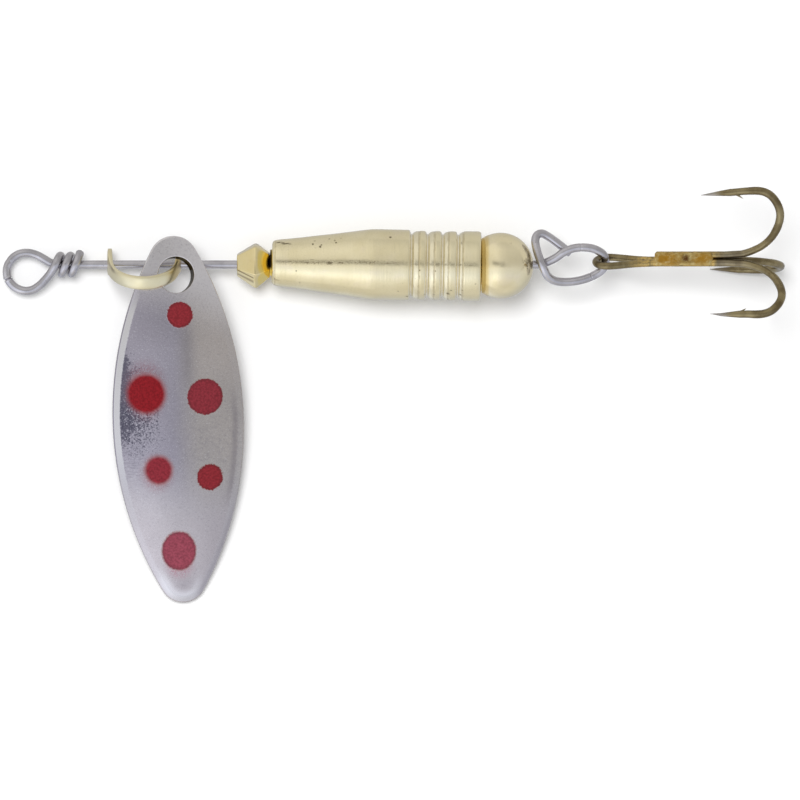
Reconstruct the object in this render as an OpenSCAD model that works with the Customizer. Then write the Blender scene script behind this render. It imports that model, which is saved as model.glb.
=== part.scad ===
// Inline spinner: a fishing lure that turns on one bent wire.
// Millimetres. The lure lies on its side as on a table: +X runs from the line
// eye along the shaft to the hooks, +Y points across to the side away from the
// blade tip, +Z is up. The origin is on the shaft axis inside the line eye.

/* [Shaft wire] */
// diameter of the spring wire
wire_d = 0.82; // [0.78:0.02:0.84]
// radial running gap between the wire and everything threaded on it
run_gap = 0.06; // [0.04:0.01:0.09]
// nose-down lean of the shaft when the lure lies on a flat table, degrees
lean = 4; // [3.5:0.1:4.5]

/* [Clevis] */
// distance between the two ears, middle to middle
clevis_span = 6.9; // [6.7:0.1:7.0]
// height of the bow above the shaft axis
clevis_rise = 4.5; // [4.3:0.1:4.8]
// thickness of the brass strip
clevis_t = 0.5; // [0.44:0.02:0.56]
// radius of each ear
ear_r = 1.6; // [1.5:0.02:1.62]
// turn of the clevis round the shaft, degrees
clevis_turn = 25; // [24:1:27]

/* [Blade] */
// greatest half width
blade_hw = 6.56; // [6.3:0.02:6.7]
// sheet thickness
blade_t = 0.6; // [0.5:0.05:0.65]
// radius of the hanging hole
blade_hole_r = 1.8; // [1.7:0.05:1.85]
// radius of the dish across the blade
dish_across = 16.3; // [15.5:0.1:18]
// radius of the dish along the blade
dish_along = 122; // [115:1:130]

/* [Front bead] */
// corner radius of the five-sided bead at its belt
bead_r = 2.4; // [2.2:0.02:2.4]

/* [Body] */
// greatest radius of the body
body_r = 3.55; // [3.4:0.05:3.55]
// radius at the bottom of the grooves
groove_r = 3.12; // [3.0:0.02:3.2]
// slight droop of the body on the wire, within the play of its bore, degrees
body_tilt = 1; // [0:0.1:1]

/* [Rear bead] */
// radius of the ball behind the body
ball_r = 3.3; // [3.1:0.05:3.35]

/* [Treble hook] */
// diameter of the hook wire
hook_d = 0.76; // [0.72:0.01:0.77]
// tail-up pitch of the hook at the link, against the shaft, degrees
hook_pitch = 5.8; // [5.6:0.1:6.4]

/* [Hidden] */
$fn = 64;

wire_r = wire_d/2;
bore_r = wire_r + run_gap;
// a twelve-sided sweep whose flats stand just outside the round wire
bend_r = wire_r + 0.02;
hook_r = hook_d/2;

// ---------- curves and sweeps ----------
function unit(v) = v/norm(v);
function bow(a, b, c, d, t) =
    0.5*(2*b + (c - a)*t + (2*a - 5*b + 4*c - d)*t*t + (3*b - a - 3*c + d)*t*t*t);
// a smooth line through all points but the first and last, n steps a span
function smooth(P, n) = concat(
    [for (i = [1:len(P)-3]) for (k = [0:n-1]) bow(P[i-1], P[i], P[i+1], P[i+2], k/n)],
    [P[len(P)-2]]);
function heading(P, i) = unit(P[min(i+1, len(P)-1)] - P[max(i-1, 0)]);
// a side direction carried along a line without twist
function carried(P) = [
    for (i = 0, u = unit(cross(heading(P, 0), [0.31, 0.17, 0.93]));
         i < len(P);
         i = i + 1,
         u = i < len(P) ? unit(u - (u*heading(P, i))*heading(P, i)) : u) u];
function loop_of(c, t, u, r, n) = let (v = cross(t, u))
    [for (k = [0:n-1]) c + r*(cos(360*k/n)*u + sin(360*k/n)*v)];
function skin(m, n) = concat(
    [[for (k = [0:n-1]) k]],
    [for (i = [0:m-2]) for (k = [0:n-1]) [i*n + k, (i+1)*n + k, (i+1)*n + (k+1)%n]],
    [for (i = [0:m-2]) for (k = [0:n-1]) [i*n + k, (i+1)*n + (k+1)%n, i*n + (k+1)%n]],
    [[for (k = [n-1:-1:0]) (m-1)*n + k]]);
// a round bar along P with radius R[i] at each point
module bar(P, R, n) {
    U = carried(P);
    polyhedron([for (i = [0:len(P)-1]) each loop_of(P[i], heading(P, i), U[i], R[i], n)],
               skin(len(P), n), convexity = 12);
}
function even(P, r) = [for (p = P) r];
// the lure as it lies: the shaft leans nose down
module lying() { rotate([0, -lean, 0]) children(); }
module along_shaft(x) { translate([x, 0, 0]) rotate([0, 90, 0]) children(); }

// ---------- shaft wire ----------
// line eye, from inside the wraps over the top, round the left and up again
eye_route = [
    [3.7, 0, 0], [3.3, 0, 0], [2.9, 0.02, 0], [2.4, 0.2, 0], [1.8, 0.55, 0], [1.1, 0.93, 0],
    [0.2, 1.16, 0], [-0.75, 1.02, 0], [-1.5, 0.45, 0], [-1.9, -0.4, 0],
    [-1.8, -1.4, 0], [-1.2, -2.2, 0], [-0.3, -2.6, 0.03], [0.6, -2.55, 0.08],
    [1.35, -2.1, 0.2], [1.95, -1.5, 0.35], [2.45, -0.9, 0.58]];
// wraps: two and a half turns that lean, with the cut end standing up
wrap_r = 0.88;
function wrap_at(f) = [2.99 + f/360 + 0.21*sin(f),
                       (wrap_r + 0.3*max(0, (f - 740)/60))*sin(f),
                       (wrap_r + 0.1*max(0, (f - 740)/60))*cos(f)];
// rear loop: along the shaft, over the top, through the hook eye, back below,
// up in front of the shaft and down again behind the top strand
rear_route = [
    [50.5, 0, 0], [50.95, 0, 0], [51.4, 0.03, 0], [52.0, 0.2, 0.05], [52.9, 0.62, 0.2], [53.7, 1.17, 0.4],
    [54.55, 1.55, 0.5], [55.5, 1.7, 0.55], [56.6, 1.6, 0.5], [57.45, 1.22, 0.38],
    [57.87, 0.75, 0.17], [57.95, 0.27, -0.05], [57.84, -0.22, -0.25], [57.4, -0.72, -0.38],
    [56.5, -1.22, -0.42], [55.4, -1.58, -0.4], [54.1, -1.74, -0.3], [52.95, -1.64, -0.02],
    [52.2, -1.2, 0.45], [51.8, -0.5, 0.83], [51.5, 0.2, 0.94], [51.2, 1.0, 0.72],
    [50.98, 1.85, 0.38], [50.93, 2.45, 0.12], [51.12, 2.93, -0.1], [51.6, 3.1, -0.28],
    [52.2, 2.82, -0.43], [52.95, 2.3, -0.53], [53.7, 1.72, -0.55], [54.5, 1.08, -0.48], [55.0, 0.7, -0.45]];

module shaft_wire() color([0.66, 0.66, 0.7]) lying() {
    wraps = [for (f = [-10:18:800]) wrap_at(f)];
    eye = smooth(concat(eye_route, [wrap_at(-10), wrap_at(10)]), 4);
    front = concat([for (i = [0:len(eye)-2]) eye[i]], wraps);
    rear = smooth(rear_route, 3);
    union() {
        bar(front, even(front, bend_r), 12);
        along_shaft(3.1) cylinder(r = wire_r, h = 51.15 - 3.1);
        bar(rear, even(rear, bend_r), 12);
    }
}

// ---------- clevis ----------
clevis_x = 11.83;
// half width of the strip at height s on the bow: round ears, narrow middle
function strip_hw(s) = s < 0.9 ? sqrt(max(0.04, ear_r*ear_r - s*s))
    : 0.7 + (sqrt(ear_r*ear_r - 0.81) - 0.7)*exp(-(s - 0.9)/0.55);
// stations down one ear, over the bow and down the other: [x, s, slope, side]
clevis_stations = concat(
    [for (s = [-ear_r*0.985, -ear_r*0.93, -ear_r*0.82, -ear_r*0.62, -ear_r*0.4, -ear_r*0.2])
        [clevis_x - clevis_span/2, s, 90]],
    [for (f = [0, 4, 8, 12, 16, 20, each [25:5:155], 160, 164, 168, 172, 176, 180])
        [clevis_x - clevis_span/2*cos(f), clevis_rise*sin(f),
         atan2(clevis_rise*cos(f), clevis_span/2*sin(f))]],
    [for (s = [-ear_r*0.2, -ear_r*0.4, -ear_r*0.62, -ear_r*0.82, -ear_r*0.93, -ear_r*0.985])
        [clevis_x + clevis_span/2, s, -90]]);
// eight-cornered strip section
function strip_ring(q) = let (
    w = strip_hw(q[1]), h = clevis_t/2, e = min(0.13, w/2, h*0.6),
    nx = -sin(q[2]), ns = cos(q[2]))
    [for (c = [[w, -h+e], [w, h-e], [w-e, h], [-w+e, h], [-w, h-e], [-w, -h+e], [-w+e, -h], [w-e, -h]])
        [q[0] + nx*c[1], c[0], q[1] + ns*c[1]]];

module clevis() color([0.86, 0.8, 0.6]) lying() rotate([clevis_turn, 0, 0])
    difference() {
        polyhedron([for (q = clevis_stations) each strip_ring(q)],
                   skin(len(clevis_stations), 8), convexity = 12);
        along_shaft(clevis_x - clevis_span/2 - 2) cylinder(r = bore_r + 0.03, h = clevis_span + 4);
    }

// ---------- blade ----------
// measured from the hanging hole: top end, widest place and tip
blade_top = 3.82;
blade_mid = -14.7;
blade_tip = -33;
flank_up = 36;
flank_down = 34.5;
// the hole is punched a little to the right of the blade's middle line
blade_shift = -0.16;
// round ends that run smoothly into the flanks
function end_r(flank, reach) = let (o = flank - blade_hw)
    (flank*flank - o*o - reach*reach)/(2*(flank - reach));
top_r = end_r(flank_up, blade_top - blade_mid);
tip_r = end_r(flank_down, blade_mid - blade_tip);
function flank_hw(v) = let (f = v > blade_mid ? flank_up : flank_down)
    blade_hw - f + sqrt(f*f - (v - blade_mid)*(v - blade_mid));
// where each round end meets its flank
top_a = atan2(blade_top - top_r - blade_mid, flank_up - blade_hw);
tip_a = atan2(blade_mid - blade_tip - tip_r, flank_down - blade_hw);
blade_side = concat(
    [for (a = [90:-9:top_a+4]) [top_r*cos(a), blade_top - top_r + top_r*sin(a)]],
    [for (k = [0:14]) let (v0 = blade_top - top_r + top_r*sin(top_a),
                           v1 = blade_tip + tip_r - tip_r*sin(tip_a),
                           v = v0 + (v1 - v0)*k/14) [flank_hw(v), v]],
    [for (a = [tip_a+4:9:89]) [tip_r*cos(a), blade_tip + tip_r - tip_r*sin(a)]]);
blade_outline = concat(blade_side, [[0, blade_tip]],
    [for (i = [len(blade_side)-1:-1:1]) [-blade_side[i][0], blade_side[i][1]]]);
// how far the dish has fallen at the hole
hole_fall = dish_along - sqrt(dish_along*dish_along - blade_mid*blade_mid);

module blade() color([0.82, 0.82, 0.84]) lying()
    translate([15, -1, 1.75]) rotate([6, 6, 2.2])
    difference() {
        intersection() {
            translate([0, blade_mid, hole_fall + blade_t - dish_along])
                rotate([0, -90, 0]) rotate([0, 0, -11])
                rotate_extrude(angle = 22)
                intersection() {
                    translate([dish_along - dish_across, 0]) difference() {
                        circle(r = dish_across);
                        circle(r = dish_across - blade_t);
                    }
                    translate([dish_along - dish_across + 6, -8]) square([20, 16]);
                }
            translate([0, 0, -4]) linear_extrude(height = 8) translate([blade_shift, 0]) polygon(blade_outline);
        }
        translate([0, 0, -2]) cylinder(r = blade_hole_r, h = 5);
    }

// ---------- front bead ----------
bead_x = 21.1;
module front_bead() color([0.85, 0.78, 0.55]) lying() along_shaft(bead_x)
    difference() {
        rotate([0, 0, 63]) union() {
            cylinder(r1 = 1.2, r2 = bead_r, h = 1.75, $fn = 5);
            translate([0, 0, 1.75]) cylinder(r = bead_r, h = 0.25, $fn = 5);
            translate([0, 0, 2]) cylinder(r1 = bead_r, r2 = 1.32, h = 1.27, $fn = 5);
        }
        translate([0, 0, -1]) cylinder(r = bore_r, h = 6);
    }

// ---------- body ----------
body_x = 24.6;
// the bore is wide enough for the body to hang a little askew on the wire
body_bore = wire_r + 0.29;
body_pivot = 34.3;
// [distance from the nose, radius]: rounded nose, long taper, drum, four grooves, collar
body_profile = [
    [0, body_bore], [0, 1.95], [0.1, 2.14], [0.35, 2.27], [0.8, 2.35], [1.4, 2.41],
    [3.2, 2.62], [4.6, 2.84], [6.0, 2.99], [7.4, 3.2], [8.8, 3.4], [9.7, 3.52], [10.2, body_r],
    [13.3, body_r - 0.01], [13.62, body_r - 0.07], [13.78, body_r - 0.2],
    [13.86, groove_r + 0.05], [13.95, groove_r], [14.1, groove_r],
    [14.2, groove_r + 0.08], [14.32, 3.38], [14.6, 3.46], [15.1, 3.47], [15.25, 3.4],
    [15.36, groove_r + 0.05], [15.45, groove_r], [15.62, groove_r],
    [15.72, groove_r + 0.08], [15.84, 3.38], [16.1, 3.47], [16.62, 3.48], [16.78, 3.4],
    [16.88, groove_r + 0.05], [16.97, groove_r], [17.12, groove_r],
    [17.22, groove_r + 0.08], [17.34, 3.38], [17.6, 3.46], [18.12, 3.46], [18.28, 3.38],
    [18.38, groove_r + 0.05], [18.46, groove_r], [18.56, groove_r],
    [18.64, groove_r + 0.08], [18.74, 3.4], [18.95, 3.5], [20.5, 3.51], [20.75, 3.45],
    [20.87, 3.3], [20.9, 3.1], [20.9, body_bore]];
module body() color([0.86, 0.8, 0.6]) lying()
    translate([body_pivot, 0, 0]) rotate([0, 0, -body_tilt]) along_shaft(body_x - body_pivot)
    rotate_extrude() polygon([for (p = body_profile) [p[1], p[0]]]);

// ---------- rear bead ----------
ball_x = 47.45;
// the ball hangs low on the wire, within the play of its bore
ball_low = 0.12;
ball_bore = wire_r + 0.19;
module rear_bead() color([0.85, 0.78, 0.55]) lying() translate([0, -ball_low, 0]) along_shaft(ball_x)
    difference() {
        rotate_extrude() difference() {
            intersection() {
                circle(r = ball_r);
                translate([0, -1.83]) square([5, 1.83 + 3.24]);
            }
            translate([0, -5]) square([ball_bore, 10]);
        }
        // dished rear mouth of the bore
        translate([0, 0, 2.9]) cylinder(r1 = ball_bore - 0.02, r2 = ball_bore + 0.4, h = 0.4);
    }

// ---------- treble hook ----------
// three touching wires round one axis; directions from +Y towards +Z
bundle_r = 0.462;
way_single = 20;
way_lower = 140;
way_third = 262.5;
// where the bundle axis starts: above the bend of the rear loop
hook_at = [57.95, 0.5, 0];
module at_hook() lying() translate(hook_at) rotate([0, -hook_pitch, 0]) children();
// bend, spear and point, measured back from the far side of the bend, and out from the axis
bend_route = [
    [-4.8, 0.462], [-4.0, 0.56], [-3.35, 0.74], [-2.75, 0.98], [-2.15, 1.28], [-1.6, 1.67], [-1.1, 2.15],
    [-0.7, 2.65], [-0.3, 3.4], [-0.06, 4.2], [-0.02, 4.9], [-0.18, 5.6], [-0.53, 6.28],
    [-1.03, 6.84], [-1.65, 7.16], [-2.4, 7.27], [-3.4, 7.2], [-4.4, 7.1], [-5.2, 7.03], [-5.9, 6.97],
    [-6.6, 6.9], [-7.2, 6.84], [-7.6, 6.8], [-7.9, 6.77], [-8.2, 6.74]];
function bend_radius(a, b, cut) = b < 5 || a > cut - 5 ? hook_r : hook_r*max(0.08, (7.95 - cut + a)/2.95);
function hook_point(a, b, far, way) = [far + a, b*cos(way), b*sin(way)];
// how far a spear is bent open at a place along it
function opened(a, b, lift) = b < 5 ? 0 : lift*max(0, min(1, (-3.4 - a)/2.6));
// from the shank round to the point, with the radius as a fourth number;
// a spear can be shorter by cut and opened by lift
function hook_side(far, way, cut, lift) = [for (q = smooth(bend_route, 2))
    if (q[1] < 5 || q[0] > cut - 7.96)
    concat(hook_point(q[0], q[1] + opened(q[0], q[1], lift), far, way), [bend_radius(q[0], q[1], cut)])];
far_single = 17.65;
far_lower = 17.9;
far_third = 17.3;
// the lower spear is shorter and lies more open than the others
cut_lower = 0.85;
lift_lower = 0.3;
braze_from = 4.95;
braze_to = 10.85;

function xyz(Q) = [for (q = Q) [q[0], q[1], q[2]]];
function rad(Q) = [for (q = Q) q[3]];
function backwards(Q) = [for (i = [len(Q)-1:-1:0]) Q[i]];

// the eye: a round ring whose ends close up into the two shanks
eye_mid = [-0.217, -0.079];
eye_way = [-0.38, 0.925];
eye_ring = 1.2;
eye_x = 0.23;
function eye_point(x, k) = [x, eye_mid[0] + k*eye_way[0], eye_mid[1] + k*eye_way[1]];
function shank(x, way) = [x, bundle_r*cos(way), bundle_r*sin(way)];
hook_eye_route = concat(
    [for (x = [15, 12, 9, 6.5, 5.2]) shank(x, way_lower)],
    [eye_point(4.3, 0.42), eye_point(3.4, 0.52), eye_point(2.6, 0.68), eye_point(1.8, 0.9), eye_point(1.0, 1.1)],
    [for (f = [80:20:280]) eye_point(eye_x + eye_ring*cos(f), eye_ring*sin(f))],
    [eye_point(1.0, -1.1), eye_point(1.8, -0.9), eye_point(2.6, -0.68), eye_point(3.4, -0.52), eye_point(4.3, -0.42)],
    [for (x = [5.2, 6.5, 9, 12, 15]) shank(x, way_third)]);

// a barb cut up on the inside of the spear, its free end towards the bend
module barb(far, way, lift) {
    s = [0, -sin(way), cos(way)];
    root = [for (j = [-1, 1]) hook_point(-5.2, 6.8 + opened(-5.2, 7, lift), far, way) + 0.12*j*s];
    heel = [for (j = [-1, 1]) hook_point(-4.25, 6.86 + opened(-4.25, 7, lift), far, way) + 0.2*j*s];
    low = [for (j = [-1, 1]) hook_point(-3.68, 6.36, far, way) + 0.08*j*s];
    deep = [for (j = [-1, 1]) hook_point(-3.9, 6.9, far, way) + 0.16*j*s];
    hull() polyhedron(concat(root, heel, low, deep),
        [[0, 1, 3, 2], [2, 3, 7, 6], [6, 7, 5, 4], [4, 5, 1, 0], [0, 2, 6, 4], [1, 5, 7, 3]]);
}

module hook_double() color([0.5, 0.46, 0.34]) at_hook() {
    eye = smooth(hook_eye_route, 2);
    path = concat(backwards(hook_side(far_lower, way_lower, cut_lower, lift_lower)),
                  [for (p = eye) concat(p, [hook_r])],
                  hook_side(far_third, way_third, 0, 0));
    union() {
        bar(xyz(path), rad(path), 10);
        barb(far_lower + 0.2, way_lower, lift_lower);
        barb(far_third, way_third, 0);
    }
}

module hook_single() color([0.5, 0.46, 0.34]) at_hook() {
    path = concat([for (x = [braze_from, 6, 8, 10, 12]) concat(shank(x, way_single), [hook_r])],
                  hook_side(far_single, way_single, 0, 0));
    union() {
        bar(xyz(path), rad(path), 10);
        barb(far_single, way_single, 0);
    }
}

// ---------- braze ----------
module braze_joint() color([0.72, 0.6, 0.36]) at_hook()
    translate([braze_from + 0.05, 0, 0]) rotate([90, 0, 90])
    difference() {
        linear_extrude(height = braze_to - braze_from - 0.05)
            hull() for (way = [way_single, way_lower, way_third])
                translate([bundle_r*cos(way), bundle_r*sin(way)]) circle(r = hook_r + 0.06, $fn = 24);
        for (way = [way_single, way_lower, way_third])
            translate([bundle_r*cos(way), bundle_r*sin(way), -1]) cylinder(r = hook_r + 0.004, h = 9);
    }

shaft_wire();
clevis();
blade();
front_bead();
body();
rear_bead();
hook_double();
hook_single();
braze_joint();
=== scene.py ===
import math
import bpy
import bmesh
import numpy as np
from mathutils import Matrix, Vector, noise
from mathutils.geometry import delaunay_2d_cdt


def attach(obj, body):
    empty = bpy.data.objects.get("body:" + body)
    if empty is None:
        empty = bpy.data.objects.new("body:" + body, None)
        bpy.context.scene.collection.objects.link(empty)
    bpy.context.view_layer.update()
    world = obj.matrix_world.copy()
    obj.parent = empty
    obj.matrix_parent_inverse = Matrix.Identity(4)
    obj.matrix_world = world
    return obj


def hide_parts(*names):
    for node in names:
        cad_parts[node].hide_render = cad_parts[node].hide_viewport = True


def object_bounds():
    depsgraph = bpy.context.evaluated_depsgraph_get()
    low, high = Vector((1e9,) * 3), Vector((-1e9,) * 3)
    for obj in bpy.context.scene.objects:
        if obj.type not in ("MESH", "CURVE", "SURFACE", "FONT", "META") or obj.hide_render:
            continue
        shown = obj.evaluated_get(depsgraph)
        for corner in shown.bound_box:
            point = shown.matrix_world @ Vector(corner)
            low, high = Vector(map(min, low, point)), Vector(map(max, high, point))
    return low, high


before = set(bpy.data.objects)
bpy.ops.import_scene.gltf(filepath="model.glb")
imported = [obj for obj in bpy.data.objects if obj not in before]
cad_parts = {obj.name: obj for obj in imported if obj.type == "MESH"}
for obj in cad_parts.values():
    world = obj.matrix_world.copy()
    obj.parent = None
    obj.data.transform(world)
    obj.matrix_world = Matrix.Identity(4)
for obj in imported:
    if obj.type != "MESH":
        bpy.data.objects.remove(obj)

cad_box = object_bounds()
scene = bpy.context.scene

# ---------------------------------------------------------------- frames
# Shapes are worked out in millimetres in the shaft's own frame: X along the
# shaft, Y across, Z up out of the blade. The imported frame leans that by 4 degrees.
LEAN = math.radians(4)
CL, SL = math.cos(LEAN), math.sin(LEAN)
SX, SY, SZ = Vector((CL, 0, SL)), Vector((0, 1, 0)), Vector((-SL, 0, CL))


def row(p):
    p = np.asarray(p, float)
    return np.stack([p[..., 0] * CL - p[..., 2] * SL, p[..., 1],
                     p[..., 0] * SL + p[..., 2] * CL], -1) / 1000


def rot_x(d):
    c, s = math.cos(math.radians(d)), math.sin(math.radians(d))
    return np.array([[1, 0, 0], [0, c, -s], [0, s, c]])


def rot_y(d):
    c, s = math.cos(math.radians(d)), math.sin(math.radians(d))
    return np.array([[c, 0, s], [0, 1, 0], [-s, 0, c]])


def rot_z(d):
    c, s = math.cos(math.radians(d)), math.sin(math.radians(d))
    return np.array([[c, -s, 0], [s, c, 0], [0, 0, 1]])


def unit(v):
    v = np.asarray(v, float)
    return v / np.maximum(np.linalg.norm(v, axis=-1, keepdims=True), 1e-12)


def lump(p, scale, seed=0.0):
    """Smooth noise from -1 to 1 at a point."""
    return noise.noise(Vector((p[0] * scale + seed, p[1] * scale - seed, p[2] * scale + 0.5 * seed)))


def step(a, b, x):
    t = np.clip((np.asarray(x, float) - a) / (b - a), 0, 1)
    return t * t * (3 - 2 * t)


# ---------------------------------------------------------------- curves and sweeps
def smooth(P, n):
    """A smooth line through all points but the first and last."""
    P = np.asarray(P, float)
    out = []
    for i in range(1, len(P) - 2):
        a, b, c, d = P[i - 1], P[i], P[i + 1], P[i + 2]
        for k in range(n):
            t = k / n
            out.append(0.5 * (2 * b + (c - a) * t + (2 * a - 5 * b + 4 * c - d) * t * t
                              + (3 * b - a - 3 * c + d) * t * t * t))
    out.append(P[-2])
    return np.array(out)


def run_length(P):
    return np.concatenate([[0], np.cumsum(np.linalg.norm(np.diff(P[:, :3], axis=0), axis=1))])


def frames(P):
    T = np.empty_like(P)
    T[1:-1] = P[2:] - P[:-2]
    T[0], T[-1] = P[1] - P[0], P[-1] - P[-2]
    T = unit(T)
    U = np.empty_like(P)
    u = unit(np.cross(T[0], [0.31, 0.17, 0.93]))
    for i in range(len(P)):
        u = unit(u - (u @ T[i]) * T[i])
        U[i] = u
    return T, U, np.cross(T, U)


def tube(P, R, sides=28, bevel=(0.07, 0.07)):
    """A closed round bar along P with radius R, its ends cut square with a small bevel."""
    P = np.asarray(P, float)
    R = np.broadcast_to(np.asarray(R, float), (len(P),)).copy()
    s = run_length(P)
    # rings for the bevelled ends
    for end in (0, -1):
        b = bevel[end]
        if not b:
            continue
        i = 0 if end == 0 else len(P) - 1
        at = s[0] + b if end == 0 else s[-1] - b
        keep = (s > at + 1e-6) if end == 0 else (s < at - 1e-6)
        keep[i] = True
        pt = np.array([np.interp(at, s, P[:, k]) for k in range(3)])
        r = np.interp(at, s, R)
        P0, R0 = P[i].copy(), R[i] - b
        P, R = P[keep], R[keep]
        if end == 0:
            P = np.vstack([P0, pt, P[1:]]); R = np.concatenate([[R0, r], R[1:]])
        else:
            P = np.vstack([P[:-1], pt, P0]); R = np.concatenate([R[:-1], [r, R0]])
        s = run_length(P)
    T, U, V = frames(P)
    a = np.arange(sides) * 2 * math.pi / sides
    ring = np.cos(a)[None, :, None] * U[:, None] + np.sin(a)[None, :, None] * V[:, None]
    verts = (P[:, None] + R[:, None, None] * ring).reshape(-1, 3)
    m = len(P)
    faces = [(i * sides + k, i * sides + (k + 1) % sides, (i + 1) * sides + (k + 1) % sides, (i + 1) * sides + k)
             for i in range(m - 1) for k in range(sides)]
    faces.append(tuple(range(sides - 1, -1, -1)))
    faces.append(tuple((m - 1) * sides + k for k in range(sides)))
    return verts, faces


def rounded(profile, sharp=0.07, n=5):
    """Closed outline with every corner rounded: shallow corners widely, sharp corners by a small radius."""
    Q = np.asarray(profile, float)
    out = []
    for i in range(len(Q)):
        a, b, c = Q[i - 1], Q[i], Q[(i + 1) % len(Q)]
        la, lc = np.linalg.norm(a - b), np.linalg.norm(c - b)
        ua, uc = (a - b) / la, (c - b) / lc
        turn = math.degrees(math.acos(max(-1, min(1, -(ua @ uc)))))
        f = 0.47 * min(la, lc) if turn < 22 else min(sharp, 0.45 * min(la, lc))
        p, q = b + ua * f, b + uc * f
        for k in range(n + 1):
            t = k / n
            out.append((1 - t) ** 2 * p + 2 * t * (1 - t) * b + t * t * q)
    return np.array(out)


def lathe(profile, x0, segs=144):
    """Turns a closed outline of [along, radius] round the shaft."""
    Q = np.asarray(profile, float)
    a = np.arange(segs) * 2 * math.pi / segs
    verts = np.stack([np.repeat(x0 + Q[:, 0], segs),
                      (Q[:, 1, None] * np.cos(a)).ravel(), (Q[:, 1, None] * np.sin(a)).ravel()], -1)
    m = len(Q)
    faces = [(i * segs + k, ((i + 1) % m) * segs + k, ((i + 1) % m) * segs + (k + 1) % segs, i * segs + (k + 1) % segs)
             for i in range(m) for k in range(segs)]
    return verts, faces


def to_object(verts, faces, name):
    me = bpy.data.meshes.new(name)
    me.from_pydata(np.asarray(verts).tolist(), [], [tuple(int(i) for i in f) for f in faces])
    bm = bmesh.new()
    bm.from_mesh(me)
    bmesh.ops.recalc_face_normals(bm, faces=bm.faces)
    bm.to_mesh(me)
    bm.free()
    ob = bpy.data.objects.new(name, me)
    scene.collection.objects.link(ob)
    return ob


def drop(ob):
    me = ob.data
    bpy.data.objects.remove(ob)
    bpy.data.meshes.remove(me)


def combine(base, others, op):
    """Unites with, or cuts away, closed shapes; all in millimetres."""
    a = to_object(*base, "base_shape")
    extra = [to_object(*o, "other_shape") for o in others]
    for o in extra:
        m = a.modifiers.new("b", "BOOLEAN")
        m.operation, m.solver, m.object = op, "EXACT", o
    dg = bpy.context.evaluated_depsgraph_get()
    me = bpy.data.meshes.new_from_object(a.evaluated_get(dg))
    verts = np.array([v.co[:] for v in me.vertices])
    faces = [tuple(p.vertices) for p in me.polygons]
    bpy.data.meshes.remove(me)
    for o in (a, *extra):
        drop(o)
    return verts, faces


def piece(name, verts, faces, material, body, nodes, sharp=38, values=None):
    ob = to_object(row(verts), faces, name)
    me = ob.data
    me.polygons.foreach_set("use_smooth", [True] * len(me.polygons))
    me.set_sharp_from_angle(angle=math.radians(sharp))
    for key, val in (values or {}).items():
        val = np.asarray(val, float)
        kind = "FLOAT" if val.ndim == 1 else "FLOAT_VECTOR"
        at = me.attributes.new(key, kind, "POINT")
        at.data.foreach_set("value" if val.ndim == 1 else "vector", val.ravel())
    me.materials.append(material)
    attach(ob, body)
    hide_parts(*nodes)
    return ob


# ---------------------------------------------------------------- materials
def material(name):
    m = bpy.data.materials.new(name)
    m.use_nodes = True
    t = m.node_tree
    t.nodes.clear()
    out = t.nodes.new("ShaderNodeOutputMaterial")
    b = t.nodes.new("ShaderNodeBsdfPrincipled")
    t.links.new(b.outputs[0], out.inputs[0])
    return m, t, b


def add(t, kind, inputs=None, **props):
    n = t.nodes.new(kind)
    for k, v in props.items():
        setattr(n, k, v)
    for k, v in (inputs or {}).items():
        if isinstance(v, bpy.types.NodeSocket):
            t.links.new(v, n.inputs[k])
        else:
            n.inputs[k].default_value = v
    return n


def mth(t, op, a, b=0.0, c=0.0, clamp=False):
    n = add(t, "ShaderNodeMath", {0: a, 1: b, 2: c}, operation=op)
    n.use_clamp = clamp
    return n.outputs[0]


def rise(t, x, lo, hi, a=0.0, b=1.0):
    return add(t, "ShaderNodeMapRange", {0: x, 1: lo, 2: hi, 3: a, 4: b}, interpolation_type="SMOOTHSTEP").outputs[0]


def blend(t, f, a, b, how="MIX"):
    n = t.nodes.new("ShaderNodeMix")
    n.data_type, n.blend_type = "RGBA", how
    for i, v in ((0, f), (6, a), (7, b)):
        if isinstance(v, bpy.types.NodeSocket):
            t.links.new(v, n.inputs[i])
        else:
            n.inputs[i].default_value = v if i == 0 else (*v, 1.0)
    return n.outputs[2]


def in_mm(t, stretch=(1, 1, 1)):
    at = add(t, "ShaderNodeTexCoord").outputs["Object"]
    return add(t, "ShaderNodeMapping", {"Vector": at, "Scale": tuple(1000 * s for s in stretch)}).outputs[0]


def grain(t, vec, scale, detail=2.0, rough=0.5):
    return add(t, "ShaderNodeTexNoise", {"Vector": vec, "Scale": scale, "Detail": detail, "Roughness": rough}).outputs[0]


def spots(t, vec, scale, share, r0, r1):
    """Scattered round spots: one per cell in a share of the cells."""
    v = add(t, "ShaderNodeTexVoronoi", {"Vector": vec, "Scale": scale})
    pick = add(t, "ShaderNodeSeparateColor", {0: v.outputs["Color"]})
    chosen = mth(t, "LESS_THAN", pick.outputs[0], share)
    size = rise(t, pick.outputs[1], 0, 1, 0.55, 1.0)
    d = mth(t, "DIVIDE", v.outputs["Distance"], size)
    return mth(t, "MULTIPLY", rise(t, d, r0, r1, 1.0, 0.0), chosen)


def bumps(t, *layers):
    """Stacked bumps, each [height, depth in mm]."""
    normal = None
    for height, depth in layers:
        n = add(t, "ShaderNodeBump", {"Height": height, "Distance": depth / 1000, "Strength": 1.0})
        if normal:
            t.links.new(normal, n.inputs["Normal"])
        normal = n.outputs[0]
    return normal


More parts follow.
